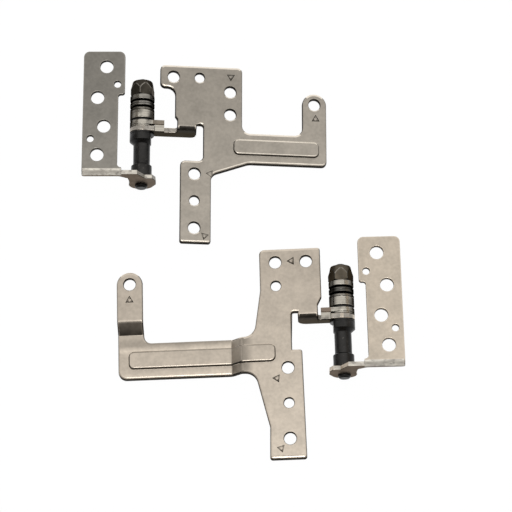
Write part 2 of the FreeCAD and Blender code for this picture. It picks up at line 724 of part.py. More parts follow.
def right_base_plate():
    body = new_body("right_base_plate")
    arm_high = -d.right_arm_high
    arm_low = arm_high - d.right_arm_width
    tip_in = d.right_reach - d.right_tip_width
    tip_mid = d.right_reach - d.right_tip_width / 2
    leg_out = d.right_leg_in + d.right_leg_width
    leg_end_in = d.right_leg_in - d.right_leg_flare
    leg_end_out = leg_out + d.right_leg_spread
    low_level = PLATE_LOW - d.right_step_drop
    step_end = d.right_step_start + d.right_step_run
    tops = [(-d.right_plate_out, d.right_top)]
    small = [(-d.right_plate_in, d.right_top), (-leg_end_in, -d.right_leg_end),
             (-leg_end_out, -d.right_leg_end), (-d.right_leg_in, -d.right_leg_high)]
    slot = (-d.right_notch_out, PLATE_FLAT_END)
    bays = [(-d.right_brace_low, arm_low), (-d.right_brace_high, arm_high)]
    flat_pad(body, [
        tops[0], small[0], (-d.right_plate_in, d.right_plate_low), (-d.right_neck_in, d.right_neck_low),
        (-d.right_neck_in, PLATE_FLAT_END), slot,
        (-d.right_notch_out, -d.right_leg_high), small[3], small[1], small[2],
        (-leg_out, -d.right_leg_taper), bays[0], (-d.right_step_start, arm_low),
        (-d.right_step_start, arm_high), bays[1], (-d.right_plate_out, d.right_plate_flare),
    ], PLATE_LOW, d.plate_sheet)
    round_corners(body, 2, tops, d.corner_mid)
    round_corners(body, 2, small, d.corner_small)
    round_corners(body, 2, [slot], d.relief_round)
    round_corners(body, 2, bays, d.corner_brace)
    step_low = step_path(d.right_step_start, step_end, PLATE_LOW)[1:3]
    step_high = step_path(d.right_step_start, step_end, d.plate_rise)[1:3]
    add_pad(body, stepped_band(body, step_low, step_high, arm_low, d.right_arm_width), d.right_arm_width)
    crook = (-tip_in, arm_high)
    corner = (-d.right_reach, arm_low)
    ramp_low = -d.right_ramp_low
    ramp_high = ramp_low + d.right_ramp_run
    flat_pad(body, [(-step_end, arm_high), crook, (-tip_in, ramp_low), (-d.right_reach, ramp_low),
                    corner, (-step_end, arm_low)], low_level, d.plate_sheet)
    round_corners(body, 2, [crook], d.right_crook)
    round_corners(body, 2, [corner], d.corner_bay)
    ramp = new_sketch(body, "YZ_Plane", -d.right_reach)
    add_polygon(ramp, [(ramp_low, low_level), (ramp_high, PLATE_LOW), (ramp_high, d.plate_rise),
                       (ramp_low, low_level + d.plate_sheet)])
    add_pad(body, ramp, d.right_tip_width)
    flat_pad(body, [(-tip_in, ramp_high), (-tip_in, d.right_tip_hole), (-d.right_reach, d.right_tip_hole),
                    (-d.right_reach, ramp_high)], PLATE_LOW, d.plate_sheet)
    round_tip(body, -tip_mid, d.right_tip_hole, d.right_tip_width, PLATE_LOW, d.plate_sheet)
    low_top = low_level + d.plate_sheet
    outside = d.bend_inside + d.plate_sheet
    round_corners(body, 1, [(-d.right_step_start, d.plate_rise), (-step_end, low_level)], outside)
    round_corners(body, 1, [(-d.right_step_start, PLATE_LOW), (-step_end, low_top)], d.bend_inside)
    round_corners(body, 0, [(ramp_high, d.plate_rise), (ramp_low, low_level)], outside)
    round_corners(body, 0, [(ramp_high, PLATE_LOW), (ramp_low, low_top)], d.bend_inside)
    base_ear(body, RIGHT, d.right_lug_end, d.right_neck_in, d.right_bend_end, d.corner_bay)
    leg_mid = d.right_leg_in + d.right_leg_hole_in
    drill(body, [
        (-d.right_near_hole, d.right_hole_row, d.screw_hole),
        (-d.right_far_hole, d.right_hole_row, d.screw_hole),
        (-d.right_far_hole, d.right_locating_row, d.locating_hole),
        (-tip_mid, d.right_tip_hole, d.screw_hole),
        (-leg_mid, -d.right_leg_hole, d.screw_hole),
        (-leg_mid, -d.right_leg_hole - d.right_leg_pitch, d.locating_hole),
        (-leg_mid, -d.right_leg_hole - d.right_leg_pitch * 2, d.screw_hole)], d.plate_rise)
    rib_end = d.right_rib_start + d.right_rib_length
    rib_low = -d.right_rib_low
    middle = d.plate_rise - d.plate_sheet / 2
    band = stepped_band(body, step_path(d.right_rib_start, rib_end, middle),
                        step_path(d.right_rib_start, rib_end, d.plate_rise + d.rib_rise),
                        rib_low, d.right_rib_width)
    add_pad(body, band, d.right_rib_width)
    rib_high = rib_low + d.right_rib_width
    round_corners(body, 2, [(-d.right_rib_start, rib_low), (-d.right_rib_start, rib_high),
                            (-rib_end, rib_low), (-rib_end, rib_high)], d.corner_mid)
    hollow_start = d.right_rib_start + d.rib_inset
    hollow_end = rib_end - d.rib_inset
    hollow_width = d.right_rib_width - d.rib_inset * 2
    hollow = stepped_band(body, step_path(hollow_start, hollow_end, PLATE_LOW - d.rib_rise),
                          step_path(hollow_start, hollow_end, PLATE_LOW + d.rib_rise),
                          rib_low + d.rib_inset, hollow_width)
    cut_pocket(body, hollow, hollow_width, backwards=True)


def lid_bracket(label, side):
    """The bracket that screws to the lid, with the flange riveted to the shaft."""
    body = new_body(label)
    out = -side
    flat_end = LID_EAR_END + d.bend_inside + d.lid_sheet
    top = [(d.lid_outer * out, d.lid_top), (d.lid_inner_wide * out, d.lid_top)]
    step = [(d.lid_inner_wide * out, d.lid_step), (d.lid_inner_narrow * out, d.lid_step)]
    root = d.lid_inner_narrow - d.lid_crook
    crook = (d.lid_inner_narrow * out, flat_end + d.lid_crook_low)
    flat_pad(body, [top[0], top[1], step[0], step[1], crook, (root * out, flat_end + d.lid_crook_low),
                    (root * out, flat_end), (d.lid_outer * out, flat_end)], LID_LOW, d.lid_sheet)
    round_corners(body, 2, top, d.lid_corner)
    round_corners(body, 2, step, d.corner_small)
    round_corners(body, 2, [crook], d.lid_crook_round)
    start = -d.lid_outer if side == LEFT else root
    end = -root if side == LEFT else d.lid_outer
    bend_strip(body, start, end, d.lid_sheet, d.lid_rise, LID_EAR_END)
    ear = new_sketch(body, "XZ_Plane", -LID_EAR_START)
    high = d.lid_rise - d.bend_inside - d.lid_sheet
    back = d.lid_ear_back
    shoulder = d.lid_ear_shoulder
    foot = (d.lid_outer * out, d.flange_low)
    hook = (d.lid_ear_hook * out, d.flange_low)
    add_polygon(ear, [
        foot, (d.lid_outer * out, high), (root * out, high),
        (root * out, d.lid_ear_high), (d.lid_ear_crest * out, d.lid_ear_high),
        (-d.lid_ear_saddle * out, shoulder), (-d.lid_ear_shelf * out, shoulder),
        (-back * out, d.lid_ear_drop), (-back * out, d.lid_ear_side),
        (-d.lid_lobe_back * out, -d.lid_lobe_low), (d.lid_lobe_front * out, -d.lid_lobe_low),
        (d.lid_ear_front * out, shoulder), hook])
    add_pad(body, ear, d.lid_sheet)
    lobe = new_sketch(body, "XZ_Plane", -LID_EAR_START)
    add_circle(lobe, 0, 0, d.ear_radius * 2)
    add_pad(body, lobe, d.lid_sheet)
    round_corners(body, 1, [hook], d.corner_mid)
    round_corners(body, 1, [foot], d.corner_small)
    hole = new_sketch(body, "XZ_Plane", -LID_EAR_START)
    add_circle(hole, 0, 0, d.rivet_shank + d.bore_clearance * 2)
    cut_pocket(body, hole, d.lid_sheet, backwards=True)
    drill(body, [
        (d.lid_hole_a_x * out, d.lid_hole_a_y, d.lid_hole),
        (d.lid_hole_b_x * out, d.lid_hole_b_y, d.lid_hole),
        (d.lid_hole_c_x * out, -d.lid_hole_c_y, d.lid_hole),
        (d.lid_hole_d_x * out, -d.lid_hole_d_y, d.lid_hole),
        (d.lid_pin_a_x * out, d.lid_pin_a_y, d.lid_pin_hole),
        (d.lid_pin_b_x * out, -d.lid_pin_b_y, d.lid_pin_hole)], d.lid_rise)


def barrel(side, lug_end, slant):
    """Everything that is threaded on one shaft, and the shaft itself."""
    name = SIDE_NAMES[side]
    shaft(f"{name}_shaft", side)
    keyed_washer(f"{name}_thrust_washer", THRUST_END - d.thrust_thick, d.thrust_thick, d.washer_dia)
    keyed_washer(f"{name}_friction_disc", FRICTION_START, d.friction_thick, d.washer_dia)
    lug_washer(f"{name}_lug_washer", side, lug_end)
    keyed_washer(f"{name}_spacer_disc", SPACER_START, d.spacer_thick, d.spacer_dia)
    keyed_washer(f"{name}_brake_disc", BRAKE_START, d.brake_thick, d.washer_dia)
    notched_washer(f"{name}_notched_washer")
    spring_washer(f"{name}_inner_spring", INNER_SPRING_START, True)
    spring_washer(f"{name}_outer_spring", OUTER_SPRING_START, False)
    keyed_washer(f"{name}_pressure_washer", PRESSURE_START, d.pressure_thick, d.washer_dia)
    hexagon_nut(f"{name}_nut", slant)


def lean(reach, under):
    """Roll, in degrees, at which the far end of a plate's arm comes down to the floor."""
    height = d.ear_radius.value
    return math.degrees(math.asin(height / math.hypot(reach.value, under.value))
                        + math.atan2(under.value, reach.value))


def place(side, plate_roll, turn, x, y):
    """Lay one hinge down: the shaft level, the plate rolled, the lid bracket level."""
    name = SIDE_NAMES[side]
    spot = FreeCAD.Vector(x, y, d.ear_radius.value)
    upright = FreeCAD.Rotation(FreeCAD.Vector(0, 0, 1), turn)
    rolled = FreeCAD.Rotation(FreeCAD.Vector(0, 1, 0), plate_roll)
    with_plate = (f"{name}_base_plate", f"{name}_lug_washer")
    for label, body in bodies.items():
        if label.startswith(name):
            roll = upright.multiply(rolled) if label in with_plate else upright
            body.Placement = FreeCAD.Placement(spot, roll)


left_base_plate()
right_base_plate()
lid_bracket("left_lid_bracket", LEFT)
lid_bracket("right_lid_bracket", RIGHT)
barrel(LEFT, d.left_lug_end, DIMENSIONS["nut_slant"])
barrel(RIGHT, d.right_lug_end, 0)
half_across = d.pair_across.value / 2
half_along = d.pair_along.value / 2
left_roll = lean(d.left_reach, PLATE_LOW)
right_roll = lean(d.right_reach, PLATE_LOW - d.right_step_drop)
place(LEFT, left_roll, 0, -half_across, half_along)
place(RIGHT, -right_roll, DIMENSIONS["right_turn"], half_across, -half_along)
doc.recompute()

box = FreeCAD.BoundBox()
for body in bodies.values():
    box.add(body.Shape.optimalBoundingBox(False, False))
shift = FreeCAD.Vector(-box.Center.x, -box.Center.y, -box.ZMin)
for body in bodies.values():
    body.Placement = FreeCAD.Placement(body.Placement.Base + shift, body.Placement.Rotation)
doc.recompute()

for item in doc.Objects:
    if {"Invalid", "Error"} & set(item.State):
        raise RuntimeError(f"{item.Label} failed: {item.State}")
for label, body in bodies.items():
    if body.Shape.isNull() or not body.Shape.isValid() or len(body.Shape.Solids) != 1:
        raise RuntimeError(f"{label} is not one sound solid")

os.makedirs("parts", exist_ok=True)
for label, body in bodies.items():
    body.Shape.exportStep(f"parts/{label}.step")
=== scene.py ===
import json
import math

import bmesh
import bpy
from mathutils import Matrix, Vector


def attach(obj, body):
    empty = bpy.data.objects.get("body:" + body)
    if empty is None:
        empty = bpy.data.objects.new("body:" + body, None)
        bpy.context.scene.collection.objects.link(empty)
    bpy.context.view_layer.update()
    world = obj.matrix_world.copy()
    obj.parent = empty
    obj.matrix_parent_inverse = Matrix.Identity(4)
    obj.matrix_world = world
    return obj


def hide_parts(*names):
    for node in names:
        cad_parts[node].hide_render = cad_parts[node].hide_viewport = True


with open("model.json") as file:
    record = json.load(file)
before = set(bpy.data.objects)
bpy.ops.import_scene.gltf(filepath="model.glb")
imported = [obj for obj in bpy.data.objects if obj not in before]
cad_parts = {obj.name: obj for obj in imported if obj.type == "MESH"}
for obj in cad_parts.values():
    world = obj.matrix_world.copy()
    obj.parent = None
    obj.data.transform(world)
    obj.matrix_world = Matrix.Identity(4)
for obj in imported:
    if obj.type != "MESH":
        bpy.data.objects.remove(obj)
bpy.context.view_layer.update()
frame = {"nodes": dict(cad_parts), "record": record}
RECORD = frame["record"]
# lengths and places below are in millimetres, unless they say otherwise
MM = 0.001
SIDES = ("left", "right")

# Where each hinge lies: the point on the shaft's axis at the base ear, in metres, the turn about
# the vertical and the roll of the base plate in degrees, as in the solid model
JOINT_SPOT = {joint["child"].split("_")[0]: Vector(joint["pos_m"])
              for joint in RECORD["behaviour"]["joints"]}
TURN = {"left": 0.0, "right": 1.5}
ROLL = {"left": 6.739835567701272, "right": -3.2034917810648254}
# height of a base plate's upper face over the shaft's axis
PLATE_TOP = 3.4


def shaft_frame(side):
    """Matrix from a shaft's own frame, in metres, to the scene."""
    turn = Matrix.Rotation(math.radians(TURN[side]), 4, "Z")
    return Matrix.Translation(JOINT_SPOT[side]) @ turn


def plate_frame(side):
    """Matrix from a base plate's own frame, in metres, to the scene."""
    return shaft_frame(side) @ Matrix.Rotation(math.radians(ROLL[side]), 4, "Y")


# Shader helpers

# a colour Mix node's own sockets, among those for other kinds of value
MIX_COLOURS = (6, 7)
MIX_RESULT = 2


def set_inputs(node, values):
    for label, value in values.items():
        node.inputs[label].default_value = value


def new_finish(name, values):
    """A material, its node tree and its shader with some inputs set."""
    material = bpy.data.materials.new(name)
    material.use_nodes = True
    shader = material.node_tree.nodes["Principled BSDF"]
    set_inputs(shader, values)
    return material, material.node_tree, shader


def coat(tree, shader, colour, roughness):
    """Link a finish's colour and roughness to its shader."""
    tree.links.new(colour, shader.inputs["Base Color"])
    tree.links.new(roughness, shader.inputs["Roughness"])


def noise_on(tree, scale, detail, stretch=(1, 1, 1), turn=(0, 0, 0)):
    """Noise on the piece's own coordinates, stretched and turned."""
    place = tree.nodes.new("ShaderNodeTexCoord")
    mapping = tree.nodes.new("ShaderNodeMapping")
    set_inputs(mapping, {"Scale": stretch, "Rotation": turn})
    noise = tree.nodes.new("ShaderNodeTexNoise")
    set_inputs(noise, {"Scale": scale, "Detail": detail})
    tree.links.new(place.outputs["Object"], mapping.inputs["Vector"])
    tree.links.new(mapping.outputs["Vector"], noise.inputs["Vector"])
    return noise.outputs["Fac"]


def spread(tree, value, low, high, start=0.3, end=0.7):
    """Map a value between start and end to a range from low to high."""
    node = tree.nodes.new("ShaderNodeMapRange")
    set_inputs(node, {"From Min": start, "From Max": end, "To Min": low, "To Max": high})
    tree.links.new(value, node.inputs["Value"])
    return node.outputs["Result"]


def ramp_on(tree, value, stops):
    """A colour that follows a value through stops in rising order, each a place and a colour."""
    ramp = tree.nodes.new("ShaderNodeValToRGB")
    elements = ramp.color_ramp.elements
    for index, (place, colour) in enumerate(stops):
        element = elements[index] if index < len(elements) else elements.new(place)
        element.position = place
        element.color = (*colour, 1)
    tree.links.new(value, ramp.inputs["Fac"])
    return ramp.outputs["Color"]


def scaled(colour, factor):
    return tuple(min(1.0, part * factor) for part in colour)


def mottled(tree, value, colour, dark, light, start=0.3, end=0.7):
    """A colour that runs from a darker to a lighter share of itself with a noise value."""
    return ramp_on(tree, value, ((start, scaled(colour, dark)), (end, scaled(colour, light))))


def blend_colours(tree, first, second, share, mode="MIX"):
    """Mix two colours, each a value or a socket, by a share."""
    mix = tree.nodes.new("ShaderNodeMix")
    mix.data_type = "RGBA"
    mix.blend_type = mode
    if isinstance(share, float):
        mix.inputs["Factor"].default_value = share
    else:
        tree.links.new(share, mix.inputs["Factor"])
    for index, colour in zip(MIX_COLOURS, (first, second)):
        if isinstance(colour, tuple):
            mix.inputs[index].default_value = (*colour, 1)
        else:
            tree.links.new(colour, mix.inputs[index])
    return mix.outputs[MIX_RESULT]


def upward(tree, low, high, start, end):
    """A factor that grows as the piece's surface turns from sideways to up."""
    place = tree.nodes.new("ShaderNodeTexCoord")
    parts = tree.nodes.new("ShaderNodeSeparateXYZ")
    tree.links.new(place.outputs["Normal"], parts.inputs["Vector"])
    return spread(tree, parts.outputs["Z"], low, high, start, end)


def dimmed(tree, colour, factor):
    """A colour socket multiplied by a factor socket."""
    grey = tree.nodes.new("ShaderNodeCombineColor")
    for channel in ("Red", "Green", "Blue"):
        tree.links.new(factor, grey.inputs[channel])
    return blend_colours(tree, colour, grey.outputs["Color"], 1.0, "MULTIPLY")


def bump_from(tree, shader, value, distance, strength):
    """Roughen a finish by a noise value, to a distance in millimetres."""
    bump = tree.nodes.new("ShaderNodeBump")
    set_inputs(bump, {"Distance": distance * MM, "Strength": strength})
    tree.links.new(value, bump.inputs["Height"])
    tree.links.new(bump.outputs["Normal"], shader.inputs["Normal"])


def linear(*rgb):
    """A colour given as it is seen, from 0 to 255, as scene values."""
    shares = [part / 255 for part in rgb]
    return tuple(part / 12.92 if part <= 0.04045 else ((part + 0.055) / 1.055) ** 2.4
                 for part in shares)


def along(tree, coordinates, towards):
    """How far a place lies along a direction."""
    place = tree.nodes.new("ShaderNodeTexCoord")
    product = tree.nodes.new("ShaderNodeVectorMath")
    product.operation = "DOT_PRODUCT"
    product.inputs[1].default_value = towards
    tree.links.new(place.outputs[coordinates], product.inputs[0])
    return product.outputs["Value"]


def slow_fade(tree, towards, start, end, low, high):
    """A factor that changes steadily along a direction, between two places."""
    return spread(tree, along(tree, "Object", towards), low, high, start * MM, end * MM)


def banded(tree, towards, stops):
    """A grey along a direction, through stops of a place and a value."""
    start, end = stops[0][0], stops[-1][0]
    shares = [((place - start) / (end - start), (value, value, value)) for place, value in stops]
    return ramp_on(tree, slow_fade(tree, towards, start, end, 0.0, 1.0), shares)


# Finishes

# how much a dull and an oily coat still mirror when they are looked along
DULL_EDGE = (0.42, 0.39, 0.35, 1)
OILY_EDGE = (0.2, 0.19, 0.18, 1)
# how much bare cut steel mirrors when it is looked at straight
DULL_GLOSS = 0.15
WORN_SPOTS = linear(104, 100, 94)
OLD_GREASE = linear(34, 32, 29)


def satin_nickel(name, colour, fade, bands=None):
    """Plated sheet: soft blotches, a fine grain and stray scratches, with painted light and shade
    drifting along it and, where given, painted bands of light and shade.
    """
    material, tree, shader = new_finish(name, {"Metallic": 1.0})
    blotch = noise_on(tree, scale=210, detail=6)
    speckle = noise_on(tree, scale=1300, detail=3)
    scratch = noise_on(tree, scale=900, detail=2,
                       stretch=(0.06, 3, 1), turn=(0, 0, math.radians(34)))
    cloud = mottled(tree, blotch, colour, dark=0.83, light=1.17, start=0.34, end=0.66)
    grain = mottled(tree, speckle, colour, dark=0.86, light=1.14, start=0.34, end=0.66)
    body = blend_colours(tree, cloud, grain, share=0.45)
    marks = spread(tree, scratch, low=0.0, high=0.4, start=0.7, end=0.78)
    worn = blend_colours(tree, body, scaled(colour, 1.25), marks)
    # painted light: the sheet is dimmed and lightened along it, then banded where bands are given
    worn = dimmed(tree, worn, slow_fade(tree, *fade))
    if bands:
        worn = blend_colours(tree, worn, banded(tree, *bands), 1.0, "MULTIPLY")
    coat(tree, shader, worn, spread(tree, blotch, low=0.36, high=0.5))
    bump_from(tree, shader, noise_on(tree, scale=4200, detail=2), distance=0.02, strength=0.35)
    return material


def rim_painted_highlight(name, colour):
    """The rounded rim that the punch leaves, lighter than the sheet as a painted highlight."""
    material, tree, shader = new_finish(name, {"Metallic": 1.0})
    rub = noise_on(tree, scale=700, detail=3)
    bright = mottled(tree, rub, colour, dark=0.95, light=1.08)
    coat(tree, shader, bright, spread(tree, rub, low=0.26, high=0.36))
    return material


def worn_bend_and_highlight(name, colour):
    """The outside of a bend: crazed pale plating with drag lines, pale partly from wear and partly
    as a painted highlight.
    """
    material, tree, shader = new_finish(name, {"Metallic": 0.25})
    drag = noise_on(tree, scale=420, detail=4, stretch=(1, 4, 2))
    patch = noise_on(tree, scale=900, detail=4)
    pale = mottled(tree, drag, colour, dark=0.7, light=1.2)
    cracks = spread(tree, patch, low=0.0, high=0.8, start=0.52, end=0.68)
    crazed = blend_colours(tree, pale, scaled(colour, 0.42), cracks)
    coat(tree, shader, crazed, spread(tree, patch, low=0.38, high=0.55))
    bump_from(tree, shader, drag, distance=0.03, strength=0.4)
    return material


def darkened_sheet(name, colour, fade=None):
    """A darker, dull sheet with a mottled film: painted shade on an ear's near face and on the
    ramp, and the darker upper part of a washer's finger.
    """
    material, tree, shader = new_finish(name, {"Metallic": 0.9, "Specular Tint": DULL_EDGE})
    film = noise_on(tree, scale=480, detail=4)
    dark_film = mottled(tree, film, colour, dark=0.75, light=1.25)
    if fade:
        dark_film = dimmed(tree, dark_film, slow_fade(tree, *fade))
    coat(tree, shader, dark_film, spread(tree, film, low=0.34, high=0.5))
    bump_from(tree, shader, noise_on(tree, scale=2600, detail=2), distance=0.02, strength=0.3)
    return material


def sheared_and_shaded_edge(name, colour):
    """The cut side of the sheet, dark with upright tear lines: partly the cut edge's own dark,
    partly painted shade, as it also darkens rim strips and walls that look away from the light.
    """
    material, tree, shader = new_finish(name, {
        "Metallic": 0.5, "Specular IOR Level": DULL_GLOSS, "Specular Tint": DULL_EDGE})
    tear = noise_on(tree, scale=2600, detail=3, stretch=(1, 1, 0.08))
    torn = mottled(tree, tear, colour, dark=0.6, light=1.3)
    coat(tree, shader, torn, spread(tree, tear, low=0.4, high=0.6))
    bump_from(tree, shader, tear, distance=0.03, strength=0.5)
    return material


def black_oxide(name, colour, shine, metal=0.7, edge=None):
    """Blackened steel with an oily film and worn grey spots, with painted shade on its sides and a
    painted highlight where it looks up.
    """
    material, tree, shader = new_finish(name, {"Metallic": metal})
    if edge:
        set_inputs(shader, {"Specular Tint": edge})
    film = noise_on(tree, scale=420, detail=4)
    wear = noise_on(tree, scale=1500, detail=4)
    oxide = mottled(tree, film, colour, dark=0.7, light=1.5)
    worn = spread(tree, wear, low=0.0, high=0.5, start=0.62, end=0.75)
    spotted = blend_colours(tree, oxide, WORN_SPOTS, worn)
    # painted shade on faces that turn sideways and a painted highlight on those that look up
    shaded = dimmed(tree, spotted, upward(tree, low=0.3, high=1.25, start=0.6, end=0.98))
    coat(tree, shader, shaded, spread(tree, film, shine - 0.06, shine + 0.12))
    bump_from(tree, shader, noise_on(tree, scale=3500, detail=3), distance=0.02, strength=0.3)
    return material


def turned_steel(name, colour, grime):
    """Bright turned steel: fine rings round the axis and greasy smears, with painted shade down the
    sides and a painted highlight where it looks up.
    """
    material, tree, shader = new_finish(name, {"Metallic": 1.0, "Specular Tint": OILY_EDGE})
    rings = noise_on(tree, scale=900, detail=2, stretch=(0.05, 4.5, 0.05))
    smear = noise_on(tree, scale=520, detail=4)
    base = mottled(tree, rings, colour, dark=0.72, light=1.12)
    greasy = spread(tree, smear, low=0.0, high=grime, start=0.48, end=0.72)
    soiled = blend_colours(tree, base, OLD_GREASE, greasy)
    # painted shade on faces that turn sideways and a painted highlight on those that look up
    shaded = dimmed(tree, soiled, upward(tree, low=0.16, high=1.15, start=0.62, end=0.94))
    coat(tree, shader, shaded, spread(tree, smear, low=0.2, high=0.34))
    bump_from(tree, shader, rings, distance=0.02, strength=0.4)
    return material


def engraved_line(name, colour):
    """The floor of a scribed mark, dark with a fine grain."""
    material, tree, shader = new_finish(name, {
        "Metallic": 0.6, "Specular IOR Level": DULL_GLOSS, "Roughness": 0.6})
    grain = noise_on(tree, scale=2000, detail=3)
    tree.links.new(mottled(tree, grain, colour, dark=0.7, light=1.3), shader.inputs["Base Color"])
    return material


# each sheet's colour; the left pieces are darker as painted shade, for the dimmer light on the left
PLATE_COLOURS_WITH_SHADE = {
    "left_base_plate": linear(166, 159, 149),
    "right_base_plate": linear(198, 187, 173),
    "left_lid_bracket": linear(140, 136, 129),
    "right_lid_bracket": linear(204, 192, 176),
}
# painted light and shade drifting over each sheet: direction, where it starts and ends along it,
# and the factors there
PAINTED_LIGHT_DRIFT = {
    "left_base_plate": ((0.5, -1.0, 0.0), -42.0, -20.0, 0.98, 1.2),
    "right_base_plate": ((0.2, -1.0, 0.0), 5.0, 45.0, 0.98, 1.2),
    "left_lid_bracket": ((0.0, -1.0, 0.0), -38.0, -20.0, 0.94, 1.2),
    "right_lid_bracket": ((0.0, -1.0, 0.0), -8.0, 20.0, 0.98, 1.04),
}
# how bright each other part of a sheet is beside the sheet's own colour: a painted highlight on the
# rims
RIM_HIGHLIGHT_GAIN = {
    "left_base_plate": 2.4,
    "right_base_plate": 1.32,
    "left_lid_bracket": 1.25,
    "right_lid_bracket": 1.25,
}
# the sheared sides: partly the cut edge's own dark, partly painted shade
SHEAR_AND_SHADE_GAIN = {"base_plate": 0.06, "lid_bracket": 0.12}
# painted shade on a base ear's near face, on the ramp and on the slopes
BASE_EAR_GAIN = 0.13
RAMP_GAIN = 0.33
SLOPE_GAIN = 0.72
# a lid ear's colour, darkened as painted shade on its near face
LID_EAR = linear(117, 107, 98)
PALE_PLATING_AND_HIGHLIGHT = linear(238, 230, 218)
# how pale each bend's worn plating and painted highlight are
BEND_GAIN = {"base_plate": 0.58, "lid_bracket": 1.0}
# painted shade on the ramp under the right plate's tip, lighter towards the tip
RAMP_FADE = ((0.0, 1.0, 0.0), -18.2, -15.2, 0.75, 1.8)
# painted reflection bands on the right plate's low arm, for the room that it mirrors: places along
# the shaft and factors
ARM_BANDS = ((-13.0, 1.22), (-11.2, 0.98), (-9.5, 0.98), (-7.4, 1.0),
             (-6.6, 1.28), (-5.5, 0.78), (-4.6, 0.78), (-3.4, 1.0))
# painted shade on its head where the step's bend runs out: places across the shaft and factors
STEP_BANDS = ((-27.0, 1.0), (-26.0, 1.0), (-22.8, 0.5), (-21.6, 0.68), (-20.2, 1.0))
CLEAR_LINE = engraved_line("clear_mark", linear(22, 19, 16))
FAINT_LINE = engraved_line("faint_mark", linear(72, 66, 58))
BLACK = black_oxide("black_oxide", linear(46, 45, 44), shine=0.3)
NUT_COLOURS = {"left": linear(60, 56, 50), "right": linear(84, 77, 67)}
NUT_BLACK = {
    side: black_oxide(f"{side}_nut_oxide", colour, shine=0.28, metal=0.92, edge=DULL_EDGE)
    for side, colour in NUT_COLOURS.items()
}
FINGER = {
    "left": darkened_sheet("left_finger", linear(142, 133, 121)),
    "right": darkened_sheet("right_finger", linear(140, 125, 113)),
}
SPRING = {
    "left": turned_steel("left_spring", linear(148, 145, 140), grime=0.8),
    "right": turned_steel("right_spring", linear(104, 102, 98), grime=0.8),
}
PALE = {
    "left": turned_steel("left_washer_pale", linear(158, 154, 147), grime=0.6),
    "right": turned_steel("right_washer_pale", linear(196, 190, 180), grime=0.6),
}
BRIGHT = turned_steel("washer_bright", linear(194, 188, 177), grime=0.75)
GREY = turned_steel("washer_grey", linear(140, 135, 127), grime=0.8)


# Mesh helpers

# a solid's corners closer than this are one corner, and its faces closer in degrees are one face
SAME_CORNER = 0.002
SAME_FACE = 0.6
# edges that turn by more than this many degrees are rounded
SHARP = 38
# faces that meet at less than this many degrees are shaded as one round face
ROUND = 40
# faces larger than this many square millimetres are flat
BROAD = 1.5
# how strongly a large face draws the shading of its corners
FLAT_WEIGHT = 100


def add_object(name, data):
    thing = bpy.data.objects.new(name, data)
    bpy.context.scene.collection.objects.link(thing)
    return thing


def copy_of(node):
    """A merged copy of a solid's mesh, its flat faces joined up."""
    mesh = bpy.data.meshes.new(f"{node}_skin")
    shell = bmesh.new()
    shell.from_mesh(frame["nodes"][node].data)
    bmesh.ops.remove_doubles(shell, verts=shell.verts, dist=SAME_CORNER * MM)
    bmesh.ops.dissolve_limit(shell, angle_limit=math.radians(SAME_FACE),
                             verts=shell.verts, edges=shell.edges)
    shell.to_mesh(mesh)
    shell.free()
    return add_object(f"{node}_skin", mesh)


def baked(piece):
    """Turn a piece with live modifiers into a plain mesh."""
    bpy.context.view_layer.update()
    result = piece.evaluated_get(bpy.context.evaluated_depsgraph_get())
    mesh = bpy.data.meshes.new_from_object(result)
    piece.modifiers.clear()
    piece.data = mesh
    return piece


def combine(piece, other, operation, material_mode="INDEX"):
    """Cut a piece by another solid, or keep what they share, and drop the other."""
    change = piece.modifiers.new("combine", "BOOLEAN")
    change.operation = operation
    change.object = other
    change.solver = "EXACT"
    change.material_mode = material_mode
    baked(piece)
    bpy.data.objects.remove(other)


def soften(piece, width, steps, rim_slot, weigh=None, sharp=SHARP, clamp=True):
    """Round the sharp edges to a width, giving the rounded strip its own finish.

    weigh gives an edge's share of the width from its middle, its two face normals and whether
    it is convex."""
    shell = bmesh.new()
    shell.from_mesh(piece.data)
    shell.normal_update()
    shares = shell.edges.layers.float.new("bevel_weight_edge")
    for edge in shell.edges:
        if len(edge.link_faces) == 2 and edge.calc_face_angle() > math.radians(sharp):
            middle = (edge.verts[0].co + edge.verts[1].co) / 2
            normals = [face.normal for face in edge.link_faces]
            edge[shares] = weigh(middle, normals, edge.is_convex) if weigh else 1.0
    shell.to_mesh(piece.data)
    shell.free()
    bevel = piece.modifiers.new("rims", "BEVEL")
    bevel.width = width * MM
    bevel.segments = steps
    bevel.limit_method = "WEIGHT"
    bevel.use_clamp_overlap = clamp
    bevel.loop_slide = False
    bevel.material = rim_slot
    return baked(piece)


def smooth(piece, degrees=ROUND):
    """Shade round faces smoothly and keep the flat ones flat."""
    piece.data.shade_smooth()
    piece.data.set_sharp_from_angle(angle=math.radians(degrees))
    flat = piece.modifiers.new("flat_faces", "WEIGHTED_NORMAL")
    flat.mode = "FACE_AREA"
    flat.weight = FLAT_WEIGHT
    flat.keep_sharp = True
    mesh = baked(piece).data
    normals = [corner.vector.copy() for corner in mesh.corner_normals]
    for face in mesh.polygons:
        if face.area > BROAD * MM * MM:
            for corner in face.loop_indices:
                normals[corner] = face.normal.copy()
    mesh.normals_split_custom_set(normals)


def stand_for(piece, node):
    """Let a finished piece take a solid's place on its body, and hide the solid."""
    bodies = RECORD["behaviour"]["bodies"]
    body = next(name for name, members in bodies.items() if node in members)
    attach(piece, body)
    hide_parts(node)


# Geometry Nodes helpers

def new_tree(name, takes, sizes, gives):
    """A tree with a geometry and named sizes as inputs, and a geometry as output."""
    tree = bpy.data.node_groups.new(name, "GeometryNodeTree")
    face = tree.interface
    face.new_socket(takes, in_out="INPUT", socket_type="NodeSocketGeometry")
    for label, size in sizes.items():
        socket = face.new_socket(label, in_out="INPUT", socket_type="NodeSocketFloat")
        socket.default_value = size
    face.new_socket(gives, in_out="OUTPUT", socket_type="NodeSocketGeometry")
    return tree, tree.nodes.new("NodeGroupInput").outputs


